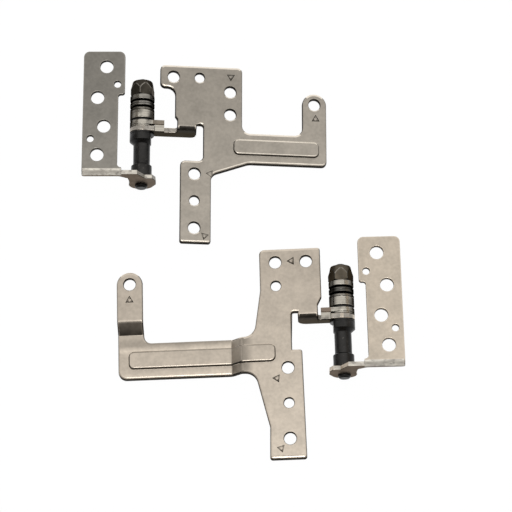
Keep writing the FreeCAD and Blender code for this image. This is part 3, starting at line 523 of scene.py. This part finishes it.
def end_tree(tree, shape, finish):
    """End a tree with real geometry in one finish."""
    real = tree.nodes.new("GeometryNodeRealizeInstances")
    coated = tree.nodes.new("GeometryNodeSetMaterial")
    coated.inputs["Material"].default_value = finish
    result = tree.nodes.new("NodeGroupOutput")
    tree.links.new(shape, real.inputs["Geometry"])
    tree.links.new(real.outputs["Geometry"], coated.inputs["Geometry"])
    tree.links.new(coated.outputs["Geometry"], result.inputs[0])
    return tree


# Scribed triangle marks

MARK_RADIUS = 0.95
MARK_DEPTH = 0.16
MARK_CORNERS = 3


def mark_tree(name, line_width, line_finish):
    """Geometry Nodes: a triangle drawn with a square-cut line at each given point."""
    sizes = {"Mark radius": MARK_RADIUS * MM, "Line width": line_width * MM,
             "Line depth": MARK_DEPTH * MM}
    tree, given = new_tree(name, "Spots", sizes, "Marks")
    nodes, link = tree.nodes, tree.links.new
    outline = nodes.new("GeometryNodeCurvePrimitiveCircle")
    outline.inputs["Resolution"].default_value = MARK_CORNERS
    cut = nodes.new("GeometryNodeCurvePrimitiveQuadrilateral")
    drawn = nodes.new("GeometryNodeCurveToMesh")
    facing = nodes.new("GeometryNodeInputNamedAttribute")
    facing.data_type = "FLOAT_VECTOR"
    facing.inputs["Name"].default_value = "facing"
    turned = nodes.new("FunctionNodeEulerToRotation")
    spread_out = nodes.new("GeometryNodeInstanceOnPoints")
    link(given["Mark radius"], outline.inputs["Radius"])
    link(given["Line width"], cut.inputs["Width"])
    link(given["Line depth"], cut.inputs["Height"])
    link(outline.outputs["Curve"], drawn.inputs["Curve"])
    link(cut.outputs["Curve"], drawn.inputs["Profile Curve"])
    link(given["Spots"], spread_out.inputs["Points"])
    link(drawn.outputs["Mesh"], spread_out.inputs["Instance"])
    link(facing.outputs["Attribute"], turned.inputs["Euler"])
    link(turned.outputs["Rotation"], spread_out.inputs["Rotation"])
    return end_tree(tree, spread_out.outputs["Instances"], line_finish)


MARK_TREES = {"clear": mark_tree("clear_triangles", 0.28, CLEAR_LINE),
              "faint": mark_tree("faint_triangles", 0.17, FAINT_LINE)}
# across the shaft, along the shaft, and where the point looks in degrees
MARK_PLACES = {
    ("left", "clear"): ((40.35, 3.0, 90), (20.4, 12.68, -90)),
    ("left", "faint"): ((15.65, -11.6, 175), (14.45, -26.75, -103)),
    ("right", "clear"): ((-11.05, 12.55, 180), (-15.1, -14.9, 174), (-48.1, 4.8, 90)),
    ("right", "faint"): ((-14.6, -31.0, 166),),
}


def marks_for(side, strength):
    """Triangles of one strength on one plate, as one mesh half sunk in the plate's top."""
    plate = plate_frame(side)
    places = MARK_PLACES[side, strength]
    mesh = bpy.data.meshes.new(f"{side}_{strength}_marks")
    spots = [plate @ Vector((x * MM, y * MM, PLATE_TOP * MM)) for x, y, look in places]
    mesh.from_pydata(spots, [], [])
    facing = mesh.attributes.new("facing", "FLOAT_VECTOR", "POINT")
    for spot, (x, y, look) in zip(facing.data, places):
        turn = plate.to_3x3() @ Matrix.Rotation(math.radians(look), 3, "Z")
        spot.vector = turn.to_euler()
    piece = add_object(f"{side}_{strength}_marks", mesh)
    piece.modifiers.new("marks", "NODES").node_group = MARK_TREES[strength]
    return baked(piece)


# Base plates and lid brackets

# the finishes of a sheet; the last three are on the right base plate alone
# besides the sheet's own colour they carry painted light: highlights on rims and bends, shade on
# sheared sides, ear, ramp and slope, reflection bands on the arm
TOP, RIM, SHEAR_AND_SHADE, EAR, BEND, RAMP, SLOPE, ARM = range(8)
# full width of a rounded rim, and the steps that it is rounded in
BASE_RIM = 0.4
LID_RIM = 0.22
RIM_STEPS = 4
# spans of a base plate, each across the shaft and along it, lowest and highest: the raised ribs,
# and on the right plate the ramp, the step, the crook beside it and the arm's far edge
# the ramp, the step and the arm's far edge take painted shade, and the crook is kept clear of the
# painted rim highlight
RIB_SPANS = {"left": ((21.0, 41.1), (-6.7, -2.9)), "right": ((-48.7, -15.2), (-10.95, -6.85))}
RAMP_SPAN = ((-52.0, -44.5), (-4.0, 1.5))
STEP_SPAN = ((-25.9, -22.3), (-20.0, 0.0))
CROOK_SPAN = ((-25.9, -16.5), (-20.0, -11.5))
ARM_EDGE_SPAN = ((-46.0, -25.4), (-5.6, -3.5))
# the right plate's arm lies lower than its head, past a step between these places
STEP_EDGES = (-25.6, -22.6)
STEP_DROP = 2.2
# faces this much over the sheet are a rib's, and its foot is the hollow strip up to this height
RIB_RISE = 0.1
RIB_FOOT = 0.2
# a base plate's ear, the bend over it and the edges of both: along the shaft, and highest
EAR_REACH, EAR_TOP = (-1.7, 0.45), 3.3
BEND_REACH, BEND_TOP = (-1.6, 0.1), 2.8
EAR_EDGE_REACH, EAR_EDGE_TOP = (-1.7, 0.2), 2.9
# a lid's flange starts here along the shaft; heights of its ear, of its bend and of the flat sheet
FLANGE_START = -12.5
LID_EAR_TOP = 5.8
LID_BEND_TOP = 7.8
LID_SHEET_LOW = 7.0
# a lid's inner crook: how far it reaches across the shaft and where it starts along it
LID_CROOK = (6.0, -11.2)
# a face is flat, level, leaning, turned up, steep or a wall by its normal's upward share
FLAT, LEVEL, LEANING, TURNED_UP, STEEP, WALL = 0.9, 0.8, 0.7, 0.5, 0.3, 0.25
# a face looks some way when its normal's share that way is more than this
LOOKS = 0.3
# the step's face and the ramp's, by their normal's share across and along the shaft
STEP_LEAN = (-0.9, -0.15)
STEP_UPWARD = 0.4
RAMP_LEAN = (-0.95, -0.3)
FLANGE_LEAN = -0.2
# wall loops smaller than this are holes
HOLE_LIMIT = 5.0
# strips no further than this from a hole belong to its rim
HOLE_RIM = 0.45
# how wide each kind of edge is rounded, as a share of the full rim
RIM_SHARES = {"hole": 0.7, "rib crest": 0.9, "rib foot": 0.45, "inner corner": 0.3, "ear": 0.35,
              "underside": 0.25}
# edges that look along the shaft are rounded by this share more than those that look across it
RIM_EXTRA = 0.5
LID_RIM_SHARES = {"inner corner": 0.0, "flange": 0.4, "crook": 0.1, "underside": 0.5}


def between(value, ends, margin=0.0):
    return ends[0] - margin < value < ends[1] + margin


def within(place, span, margin=0.0):
    """Whether a place lies in a span, or no further than a margin from it."""
    across, lengthwise = span
    return between(place.x, across, margin) and between(place.y, lengthwise, margin)


def sheet_height(place, side):
    """Height of a base plate's upper face, in its own frame."""
    if side == "left":
        return PLATE_TOP
    low, high = STEP_EDGES
    share = min(1.0, max(0.0, (place.x - low) / (high - low)))
    return PLATE_TOP - STEP_DROP * (1.0 - share)


def rib_strip(normal, foot, side):
    """Which finish a strip round a raised rib takes.

    To the near side the crest gets a painted highlight, and the side and the foot painted shade."""
    if abs(normal.x) > abs(normal.y):
        if side == "right" and normal.x < 0:
            return RIM if foot else TOP if normal.z > FLAT else SHEAR_AND_SHADE
        return TOP if normal.z > LEANING else SHEAR_AND_SHADE
    if normal.y < 0:
        crest = TOP if foot else RIM
        return crest if normal.z > LEANING else SHEAR_AND_SHADE
    if side == "right":
        return RIM if foot else SLOPE
    return SHEAR_AND_SHADE if foot and normal.z < FLAT else RIM


def in_hole(place, holes):
    return any(math.hypot(place.x - x, place.y - y) < radius + HOLE_RIM for x, y, radius in holes)


def hole_strip(normal, side):
    """Which finish a strip of a hole's rounded edge takes.

    The far side gets painted shade, and the near side a painted highlight on the left plate."""
    if normal.y > abs(normal.x) and side == "left":
        return RIM if normal.z > STEEP else SHEAR_AND_SHADE
    return TOP if normal.z > (FLAT if -normal.y > abs(normal.x) else LEANING) else SHEAR_AND_SHADE


def rim_strip(place, normal, side, holes):
    """Which finish a strip of a base plate's rounded edge takes, by where it looks: a painted
    highlight or painted shade.
    """
    right = side == "right"
    if right and within(place, STEP_SPAN) and abs(normal.y) < LOOKS:
        return SLOPE if normal.x < -LOOKS else TOP
    if within(place, RIB_SPANS[side], RIB_FOOT):
        return rib_strip(normal, place.z < sheet_height(place, side) + RIB_FOOT, side)
    if in_hole(place, holes):
        return hole_strip(normal, side)
    if abs(normal.x) > abs(normal.y) or right and within(place, CROOK_SPAN):
        return TOP if normal.z > LEANING else SHEAR_AND_SHADE
    if right and within(place, ARM_EDGE_SPAN) and normal.y > 0:
        return SLOPE if normal.z > STEEP else SHEAR_AND_SHADE
    return RIM if normal.z > (STEEP if normal.y > 0 else LEANING) else SHEAR_AND_SHADE


def find_holes(mesh, inverse):
    """Centre and radius of each hole through a sheet, in its own frame."""
    turn_back = inverse.to_3x3()
    shell = bmesh.new()
    shell.from_mesh(mesh)
    walls = {face for face in shell.faces if abs((turn_back @ face.normal).z) < WALL}
    holes = []
    while walls:
        loop = [walls.pop()]
        for face in loop:
            for edge in face.edges:
                for other in edge.link_faces:
                    if other in walls:
                        walls.remove(other)
                        loop.append(other)
        points = [inverse @ vert.co / MM for face in loop for vert in face.verts]
        spans = [(min(values), max(values))
                 for values in zip(*((point.x, point.y) for point in points))]
        size = max(high - low for low, high in spans)
        if size < HOLE_LIMIT:
            holes.append((*(sum(span) / 2 for span in spans), size / 2))
    shell.free()
    return holes


def plate_zone(place, normal, side):
    """Which finish a base plate's face takes, with painted highlight and shade by where it looks.
    """
    right = side == "right"
    over = place.z - sheet_height(place, side)
    if (right and within(place, STEP_SPAN) and between(normal.x, STEP_LEAN)
            and normal.z > STEP_UPWARD):
        return SLOPE
    if within(place, RIB_SPANS[side]) and over > RIB_RISE:
        return SLOPE if right and normal.y > LOOKS else TOP
    if right and within(place, RAMP_SPAN) and between(normal.y, RAMP_LEAN):
        return RAMP
    if between(place.y, EAR_REACH) and place.z < EAR_TOP and normal.y < -LOOKS:
        return EAR
    if between(place.y, BEND_REACH) and place.z < BEND_TOP:
        return BEND if normal.z > TURNED_UP else TOP
    if right and place.x < STEP_EDGES[0] and normal.z > FLAT and over < RIB_RISE:
        return ARM
    return SHEAR_AND_SHADE if abs(normal.z) < WALL else TOP


def bracket_zone(place, normal):
    """Which finish a lid bracket's face takes, with painted shade low on the flange's near face and
    a painted highlight higher up on it and on its up-facing faces.
    """
    if place.y < FLANGE_START and normal.y < FLANGE_LEAN:
        return EAR if place.z < LID_EAR_TOP else BEND
    if place.y < FLANGE_START and place.z < LID_BEND_TOP and normal.z > LEVEL:
        return BEND
    if place.z > LID_SHEET_LOW and abs(normal.z) < WALL:
        return SHEAR_AND_SHADE
    return TOP


def plate_rim(place, normals, convex, side, holes):
    """How wide a base plate's edge is rounded, as a share of the full rim."""
    if in_hole(place, holes):
        return RIM_SHARES["hole"]
    if within(place, RIB_SPANS[side]):
        return RIM_SHARES["rib crest" if convex else "rib foot"]
    if not convex:
        return RIM_SHARES["inner corner"]
    if between(place.y, EAR_EDGE_REACH) and place.z < EAR_EDGE_TOP:
        return RIM_SHARES["ear"]
    if max(normal.z for normal in normals) < TURNED_UP:
        return RIM_SHARES["underside"]
    side_normal = min(normals, key=lambda normal: abs(normal.z))
    return 1.0 + RIM_EXTRA * abs(side_normal.y)


def bracket_rim(place, normals, convex):
    """How wide a lid bracket's edge is rounded, as a share of the full rim."""
    if not convex:
        return LID_RIM_SHARES["inner corner"]
    if place.z < LID_SHEET_LOW:
        return LID_RIM_SHARES["flange"]
    # the inner crook ends close to the bend, so its rim stays narrow
    if abs(place.x) < LID_CROOK[0] and place.y < LID_CROOK[1]:
        return LID_RIM_SHARES["crook"]
    upper = max(normal.z for normal in normals) > TURNED_UP
    return 1.0 if upper else LID_RIM_SHARES["underside"]


def bands_on_plate(side, way, stops):
    """Bands given in a plate's own frame, as a direction and stops in the scene."""
    towards = plate_frame(side).to_3x3() @ Vector(way)
    offset = towards.dot(JOINT_SPOT[side]) / MM
    return towards, [(place + offset, value) for place, value in stops]


def sheet_finishes(node):
    """The finishes of a sheet metal piece, in the order of their numbers."""
    side, kind = node.split("_", 1)
    colour, drift = PLATE_COLOURS_WITH_SHADE[node], PAINTED_LIGHT_DRIFT[node]
    stepped = node == "right_base_plate"
    step_bands = bands_on_plate(side, (1, 0, 0), STEP_BANDS) if stepped else None
    ear = scaled(colour, BASE_EAR_GAIN) if kind == "base_plate" else LID_EAR
    finishes = [
        satin_nickel(f"{node}_nickel", colour, drift, step_bands),
        rim_painted_highlight(f"{node}_rim", scaled(colour, RIM_HIGHLIGHT_GAIN[node])),
        sheared_and_shaded_edge(f"{node}_shear", scaled(colour, SHEAR_AND_SHADE_GAIN[kind])),
        darkened_sheet(f"{node}_ear", ear),
        worn_bend_and_highlight(f"{node}_bend", scaled(PALE_PLATING_AND_HIGHLIGHT, BEND_GAIN[kind])),
    ]
    if stepped:
        arm_bands = bands_on_plate(side, (0, 1, 0), ARM_BANDS)
        finishes += [
            darkened_sheet(f"{node}_ramp", scaled(colour, RAMP_GAIN), RAMP_FADE),
            satin_nickel(f"{node}_slope", scaled(colour, SLOPE_GAIN), drift),
            satin_nickel(f"{node}_arm", colour, drift, arm_bands),
        ]
    return finishes


def sheet_skin(node, rim_width):
    """A sheet metal piece with rolled rims, sheared sides and a satin top, with painted highlights
    and shade by where its faces look.
    """
    side, kind = node.split("_", 1)
    is_base = kind == "base_plate"
    inverse = (plate_frame(side) if is_base else shaft_frame(side)).inverted()
    turn_back = inverse.to_3x3()
    piece = copy_of(node)
    holes = find_holes(piece.data, inverse)

    def rim_share(middle, normals, convex):
        place = inverse @ middle / MM
        normals = [turn_back @ normal for normal in normals]
        if is_base:
            return plate_rim(place, normals, convex, side, holes)
        return bracket_rim(place, normals, convex)

    for finish in sheet_finishes(node):
        piece.data.materials.append(finish)
    for face in piece.data.polygons:
        place, normal = inverse @ face.center / MM, turn_back @ face.normal
        zone = plate_zone(place, normal, side) if is_base else bracket_zone(place, normal)
        face.material_index = zone
    soften(piece, rim_width, RIM_STEPS, RIM, rim_share, clamp=False)
    # rim strips take a painted highlight or painted shade by where they look
    for face in piece.data.polygons:
        if face.material_index == RIM:
            place, normal = inverse @ face.center / MM, turn_back @ face.normal
            if is_base:
                face.material_index = rim_strip(place, normal, side, holes)
            elif normal.z < TURNED_UP:
                face.material_index = SHEAR_AND_SHADE
    return piece


for side in SIDES:
    plate = sheet_skin(f"{side}_base_plate", BASE_RIM)
    for strength in MARK_TREES:
        combine(plate, marks_for(side, strength), "DIFFERENCE", "TRANSFER")
    smooth(plate)
    stand_for(plate, f"{side}_base_plate")
    bracket = sheet_skin(f"{side}_lid_bracket", LID_RIM)
    smooth(bracket)
    stand_for(bracket, f"{side}_lid_bracket")


# Barrel

# the slot of a turned piece's rims, and the steps that they are rounded in
TURNED_RIM = 1
TURNED_STEPS = 2
# where each lug washer's finger leaves the barrel, across the shaft
FINGER_START = {"left": 2.6, "right": -2.6}
# the darker part of a finger: least place along the shaft, across it and out from its axis
DARK_FINGER_ALONG = 0.4
DARK_FINGER_ACROSS = 2.4
DARK_FINGER_OUT = 2.9
DARK_FINGER_SLOT = 2
NUT_START = 7.88
NUT_SIDES = 6
NUT_FLATS = 5.0
# the lock nut's crown, fuller than the solid's, and its chamfered base, as heights and radii
NUT_CROWN = ((0.0, 3.0), (1.2, 3.0), (2.6, 2.56), (3.5, 2.38), (3.68, 2.28), (3.78, 2.05))
NUT_TOP = NUT_CROWN[-1][0]
# how far the solids that shape a nut reach past it
SPARE = 1.0
NUT_BASE = ((0.0, 2.45), (0.25, 2.8), (0.4, 3.05), (NUT_TOP + SPARE, 3.05))
# how far a corner of each nut stands from straight up, in degrees
NUT_CORNER = {"left": -10, "right": 30}
NUT_STEPS = 72
# the nut's edges are worn between these heights, to this width
NUT_WORN = (0.5, 3.3)
NUT_WEAR = 0.12
# its edges that turn by more than this many degrees are worn
NUT_SHARP = 12
# its faces that meet at less than this many degrees are shaded as one round face
NUT_ROUND = 20
THREAD_RADIUS = 1.25
THREAD_CLEARANCE = 0.05
THREAD_RISE = 0.2
THREAD_TURNS = 0.8
THREAD_CREST = 0.08
THREAD_STEPS = 40
CREST_STEPS = 6


def along_shaft(side, height):
    """Matrix that stands a piece drawn upright on the shaft, its base at a height."""
    lift = Matrix.Translation((0, height * MM, 0))
    return shaft_frame(side) @ lift @ Matrix.Rotation(math.radians(-90), 4, "X")


def split_across(piece, side, across):
    """Cut a piece's faces along a plane across the shaft's own frame."""
    place = shaft_frame(side)
    shell = bmesh.new()
    shell.from_mesh(piece.data)
    bmesh.ops.bisect_plane(shell, geom=[*shell.verts, *shell.edges, *shell.faces],
                           plane_co=place @ Vector((across * MM, 0, 0)),
                           plane_no=place.to_3x3() @ Vector((1, 0, 0)))
    shell.to_mesh(piece.data)
    shell.free()


def turned_skin(node, finish, rim, width):
    """A piece of the barrel with its rims rounded."""
    piece = copy_of(node)
    side = node.split("_")[0]
    if node.endswith("lug_washer"):
        split_across(piece, side, FINGER_START[side])
    piece.data.materials.append(finish)
    piece.data.materials.append(rim)
    soften(piece, width, TURNED_STEPS, TURNED_RIM)
    smooth(piece)
    stand_for(piece, node)
    return piece


def lug_skin(side):
    """A lug washer, the upper part of its finger in a darker finish."""
    piece = turned_skin(f"{side}_lug_washer", BRIGHT, BRIGHT, width=0.12)
    piece.data.materials.append(FINGER[side])
    inverse = shaft_frame(side).inverted()
    for face in piece.data.polygons:
        place = inverse @ face.center / MM
        on_finger = abs(place.x) > DARK_FINGER_ACROSS and math.hypot(place.x, place.z) > DARK_FINGER_OUT
        if on_finger and place.y > DARK_FINGER_ALONG and place.z > 0.0:
            face.material_index = DARK_FINGER_SLOT


def ring_mesh(name, outside, bore, corners, first):
    """A closed ring drawn upright from heights and radii.

    first is how far its first corner is turned from straight up, in degrees."""
    outline = ((outside[0][0], bore), *outside, (outside[-1][0], bore))
    points, faces = [], []
    count = len(outline)
    for step in range(corners):
        angle = math.radians(first + 360 * step / corners)
        points += [(radius * MM * math.sin(angle), -radius * MM * math.cos(angle), height * MM)
                   for height, radius in outline]
        here, there = step * count, (step + 1) % corners * count
        faces += [(here + row, here + (row + 1) % count, there + (row + 1) % count, there + row)
                  for row in range(count)]
    mesh = bpy.data.meshes.new(name)
    mesh.from_pydata(points, [], faces)
    shell = bmesh.new()
    shell.from_mesh(mesh)
    bmesh.ops.recalc_face_normals(shell, faces=shell.faces)
    shell.to_mesh(mesh)
    shell.free()
    return add_object(name, mesh)


def nut_skin(side):
    """The lock nut: a hexagon cut by a turned crown and a chamfered base, its edges worn."""

    def worn(middle, normals, convex):
        return 1.0 if between(middle.z / MM, NUT_WORN) else 0.0

    turn = NUT_CORNER[side]
    bore = THREAD_RADIUS + THREAD_CLEARANCE
    corner = NUT_FLATS / math.sqrt(3)
    hexagon = ((-SPARE, corner), (NUT_TOP + SPARE, corner))
    nut = ring_mesh(f"{side}_nut_skin", NUT_CROWN, bore, NUT_STEPS, turn)
    # the solids that shape the nut have smaller bores, so they leave its own bore alone
    combine(nut, ring_mesh("hexagon", hexagon, bore / 2, NUT_SIDES, turn), "INTERSECT")
    nut.data.materials.clear()
    nut.data.materials.append(NUT_BLACK[side])
    nut.data.materials.append(GREY)
    soften(nut, NUT_WEAR, TURNED_STEPS, TURNED_RIM, worn, sharp=NUT_SHARP, clamp=False)
    combine(nut, ring_mesh("base", NUT_BASE, bore / 2, NUT_STEPS, turn), "INTERSECT")
    nut.data.transform(along_shaft(side, NUT_START))
    smooth(nut, NUT_ROUND)
    stand_for(nut, f"{side}_nut")


def thread_tree():
    """Geometry Nodes: the crest of a screw thread, wound round the shaft's end."""
    sizes = {"Radius": THREAD_RADIUS * MM, "Rise": THREAD_RISE * MM, "Turns": THREAD_TURNS,
             "Crest": THREAD_CREST * MM}
    tree, given = new_tree("thread_crest", "Shaft", sizes, "Thread")
    nodes, link = tree.nodes, tree.links.new
    path = nodes.new("GeometryNodeCurveSpiral")
    path.inputs["Resolution"].default_value = THREAD_STEPS
    profile = nodes.new("GeometryNodeCurvePrimitiveCircle")
    profile.inputs["Resolution"].default_value = CREST_STEPS
    wound = nodes.new("GeometryNodeCurveToMesh")
    wound.inputs["Fill Caps"].default_value = True
    link(given["Radius"], path.inputs["Start Radius"])
    link(given["Radius"], path.inputs["End Radius"])
    link(given["Rise"], path.inputs["Height"])
    link(given["Turns"], path.inputs["Rotations"])
    link(given["Crest"], profile.inputs["Radius"])
    link(path.outputs["Curve"], wound.inputs["Curve"])
    link(profile.outputs["Curve"], wound.inputs["Profile Curve"])
    return end_tree(tree, wound.outputs["Mesh"], BLACK)


THREAD_TREE = thread_tree()


def thread_end(side):
    """The thread's crest over the nut, on the shaft's end."""
    piece = add_object(f"{side}_thread", bpy.data.meshes.new(f"{side}_thread"))
    piece.modifiers.new("thread", "NODES").node_group = THREAD_TREE
    baked(piece)
    piece.data.transform(along_shaft(side, NUT_START + NUT_TOP + THREAD_CLEARANCE))
    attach(piece, f"{side}_lid")


# each turned piece with its finish, its rims' finish and their width; where the rims' finish is
# lighter than the piece's own, it is a painted highlight on the rounded edge
for side in SIDES:
    nut_skin(side)
    turned_skin(f"{side}_shaft", BLACK, BLACK, 0.1)
    turned_skin(f"{side}_thrust_washer", BLACK, BLACK, 0.06)
    turned_skin(f"{side}_friction_disc", BRIGHT, BRIGHT, 0.05)
    lug_skin(side)
    turned_skin(f"{side}_spacer_disc", BLACK, BLACK, 0.05)
    turned_skin(f"{side}_brake_disc", BRIGHT, BRIGHT, 0.08)
    turned_skin(f"{side}_notched_washer", GREY, BRIGHT, 0.06)
    turned_skin(f"{side}_inner_spring", SPRING[side], GREY, 0.06)
    turned_skin(f"{side}_outer_spring", SPRING[side], GREY, 0.06)
    turned_skin(f"{side}_pressure_washer", PALE[side], BRIGHT, 0.1)
    thread_end(side)


# Floor, light and camera

# the floor as the camera sees it: what the lamps add, its own glow, and how clear it is
FLOOR_LIT = (0.12, 0.12, 0.12, 1)
FLOOR_GLOW = 0.93
FLOOR_CLEAR = 0.75
# the floor as it lights the pair
FLOOR_PAPER = (0.75, 0.75, 0.75, 1)
# the white paper under the floor lies lower than a lid swings
BACKDROP_DEPTH = 25.0
# half the width of the floor and the paper
SHEET_REACH = 1500.0
# the room is brightest this way; its light by height that way, from the lowest to the highest
SKY_WAY = (0.12, 1.0, 0.9)
SKY_SPAN = (-0.6, 1.4)
SKY_STOPS = ((0.12, (0.16, 0.152, 0.142)), (0.45, (0.42, 0.41, 0.4)), (0.7, (0.95, 0.945, 0.93)))
SKY_STRENGTH = 0.9
LAMP_SPOT = (0.0, -220.0, 800.0)
LAMP_WIDTH = 220.0
LAMP_POWER = 0.9
# focal length and sensor, and where the camera stands and looks
LENS = 169.0
SENSOR = 36.0
CAMERA_SPOT = (3.31, -169.5, 526.1)
CAMERA_TARGET = (3.31, 0.45, 3.0)


def bare_tree(owner):
    """The node tree of a material or a world, emptied."""
    owner.use_nodes = True
    owner.node_tree.nodes.clear()
    return owner.node_tree


def larger(tree, first, second):
    node = tree.nodes.new("ShaderNodeMath")
    node.operation = "MAXIMUM"
    tree.links.new(first, node.inputs[0])
    tree.links.new(second, node.inputs[1])
    return node.outputs[0]


def new_shader(tree, kind, values):
    """A shader node's output, with some inputs set."""
    node = tree.nodes.new(kind)
    set_inputs(node, values)
    return node.outputs[0]


def mixed_shader(tree, kind, *parts):
    """Shaders joined by a mixing node, with their share first where it takes one."""
    node = tree.nodes.new(kind)
    for part, socket in zip(parts, node.inputs):
        tree.links.new(part, socket)
    return node.outputs[0]


def floor_finish():
    """White to the camera and in reflections, with a faint shadow.

    It is mostly clear to the camera, so that a lid under it is still seen."""
    material = bpy.data.materials.new("floor")
    tree = bare_tree(material)
    rays = tree.nodes.new("ShaderNodeLightPath").outputs
    camera = rays["Is Camera Ray"]
    seen = larger(tree, camera, rays["Is Glossy Ray"])
    seen = larger(tree, seen, rays["Is Transmission Ray"])
    lit = new_shader(tree, "ShaderNodeBsdfDiffuse", {"Color": FLOOR_LIT})
    glow = new_shader(tree, "ShaderNodeEmission", {"Strength": FLOOR_GLOW})
    white = mixed_shader(tree, "ShaderNodeAddShader", lit, glow)
    paper = new_shader(tree, "ShaderNodeBsdfDiffuse", {"Color": FLOOR_PAPER})
    sheet = mixed_shader(tree, "ShaderNodeMixShader", seen, paper, white)
    clear = new_shader(tree, "ShaderNodeBsdfTransparent", {})
    share = spread(tree, camera, low=0.0, high=FLOOR_CLEAR, start=0.0, end=1.0)
    pane = mixed_shader(tree, "ShaderNodeMixShader", share, sheet, clear)
    tree.links.new(pane, tree.nodes.new("ShaderNodeOutputMaterial").inputs["Surface"])
    return material


def backdrop_finish():
    """Plain white, whatever the light."""
    material = bpy.data.materials.new("backdrop")
    tree = bare_tree(material)
    glow = new_shader(tree, "ShaderNodeEmission", {})
    tree.links.new(glow, tree.nodes.new("ShaderNodeOutputMaterial").inputs["Surface"])
    return material


def lay_sheet(name, height, finish):
    """A level square sheet, attached to none of the part's bodies."""
    mesh = bpy.data.meshes.new(name)
    corners = [(x * SHEET_REACH * MM, y * SHEET_REACH * MM, height * MM)
               for x, y in ((-1, -1), (1, -1), (1, 1), (-1, 1))]
    mesh.from_pydata(corners, [], [(0, 1, 2, 3)])
    mesh.materials.append(finish)
    sheet = add_object(name, mesh)


def sky():
    """Soft room light: bright overhead and behind the pair, dim low on the near side."""
    scene = bpy.context.scene
    scene.world = scene.world or bpy.data.worlds.new("room")
    tree = bare_tree(scene.world)
    height = spread(tree, along(tree, "Generated", SKY_WAY), 0.0, 1.0, *SKY_SPAN)
    light = tree.nodes.new("ShaderNodeBackground")
    light.inputs["Strength"].default_value = SKY_STRENGTH
    tree.links.new(ramp_on(tree, height, SKY_STOPS), light.inputs["Color"])
    tree.links.new(light.outputs[0], tree.nodes.new("ShaderNodeOutputWorld").inputs["Surface"])


def aim(thing, spot, target):
    """Stand a lamp or a camera at a spot and turn it to a target."""
    start, end = Vector(spot) * MM, Vector(target) * MM
    thing.location = start
    thing.rotation_euler = (end - start).to_track_quat("-Z", "Y").to_euler()


def soft_box(name, spot, target, width, power):
    """A square lamp with soft shadows."""
    lamp = bpy.data.lights.new(name, "AREA")
    lamp.shape = "SQUARE"
    lamp.size = width * MM
    lamp.energy = power
    aim(add_object(name, lamp), spot, target)


def set_camera():
    """Above the pair, a little towards its near side."""
    lens = bpy.data.cameras.new("camera")
    lens.lens = LENS
    lens.sensor_width = SENSOR
    lens.dof.use_dof = False
    camera = add_object("camera", lens)
    aim(camera, CAMERA_SPOT, CAMERA_TARGET)
    bpy.context.scene.camera = camera


lay_sheet("floor", 0.0, floor_finish())
lay_sheet("backdrop", -BACKDROP_DEPTH, backdrop_finish())
sky()
soft_box("overhead", LAMP_SPOT, (0, 0, 0), LAMP_WIDTH, LAMP_POWER)
set_camera()
bpy.context.scene.view_settings.view_transform = "Standard"

bpy.context.view_layer.update()
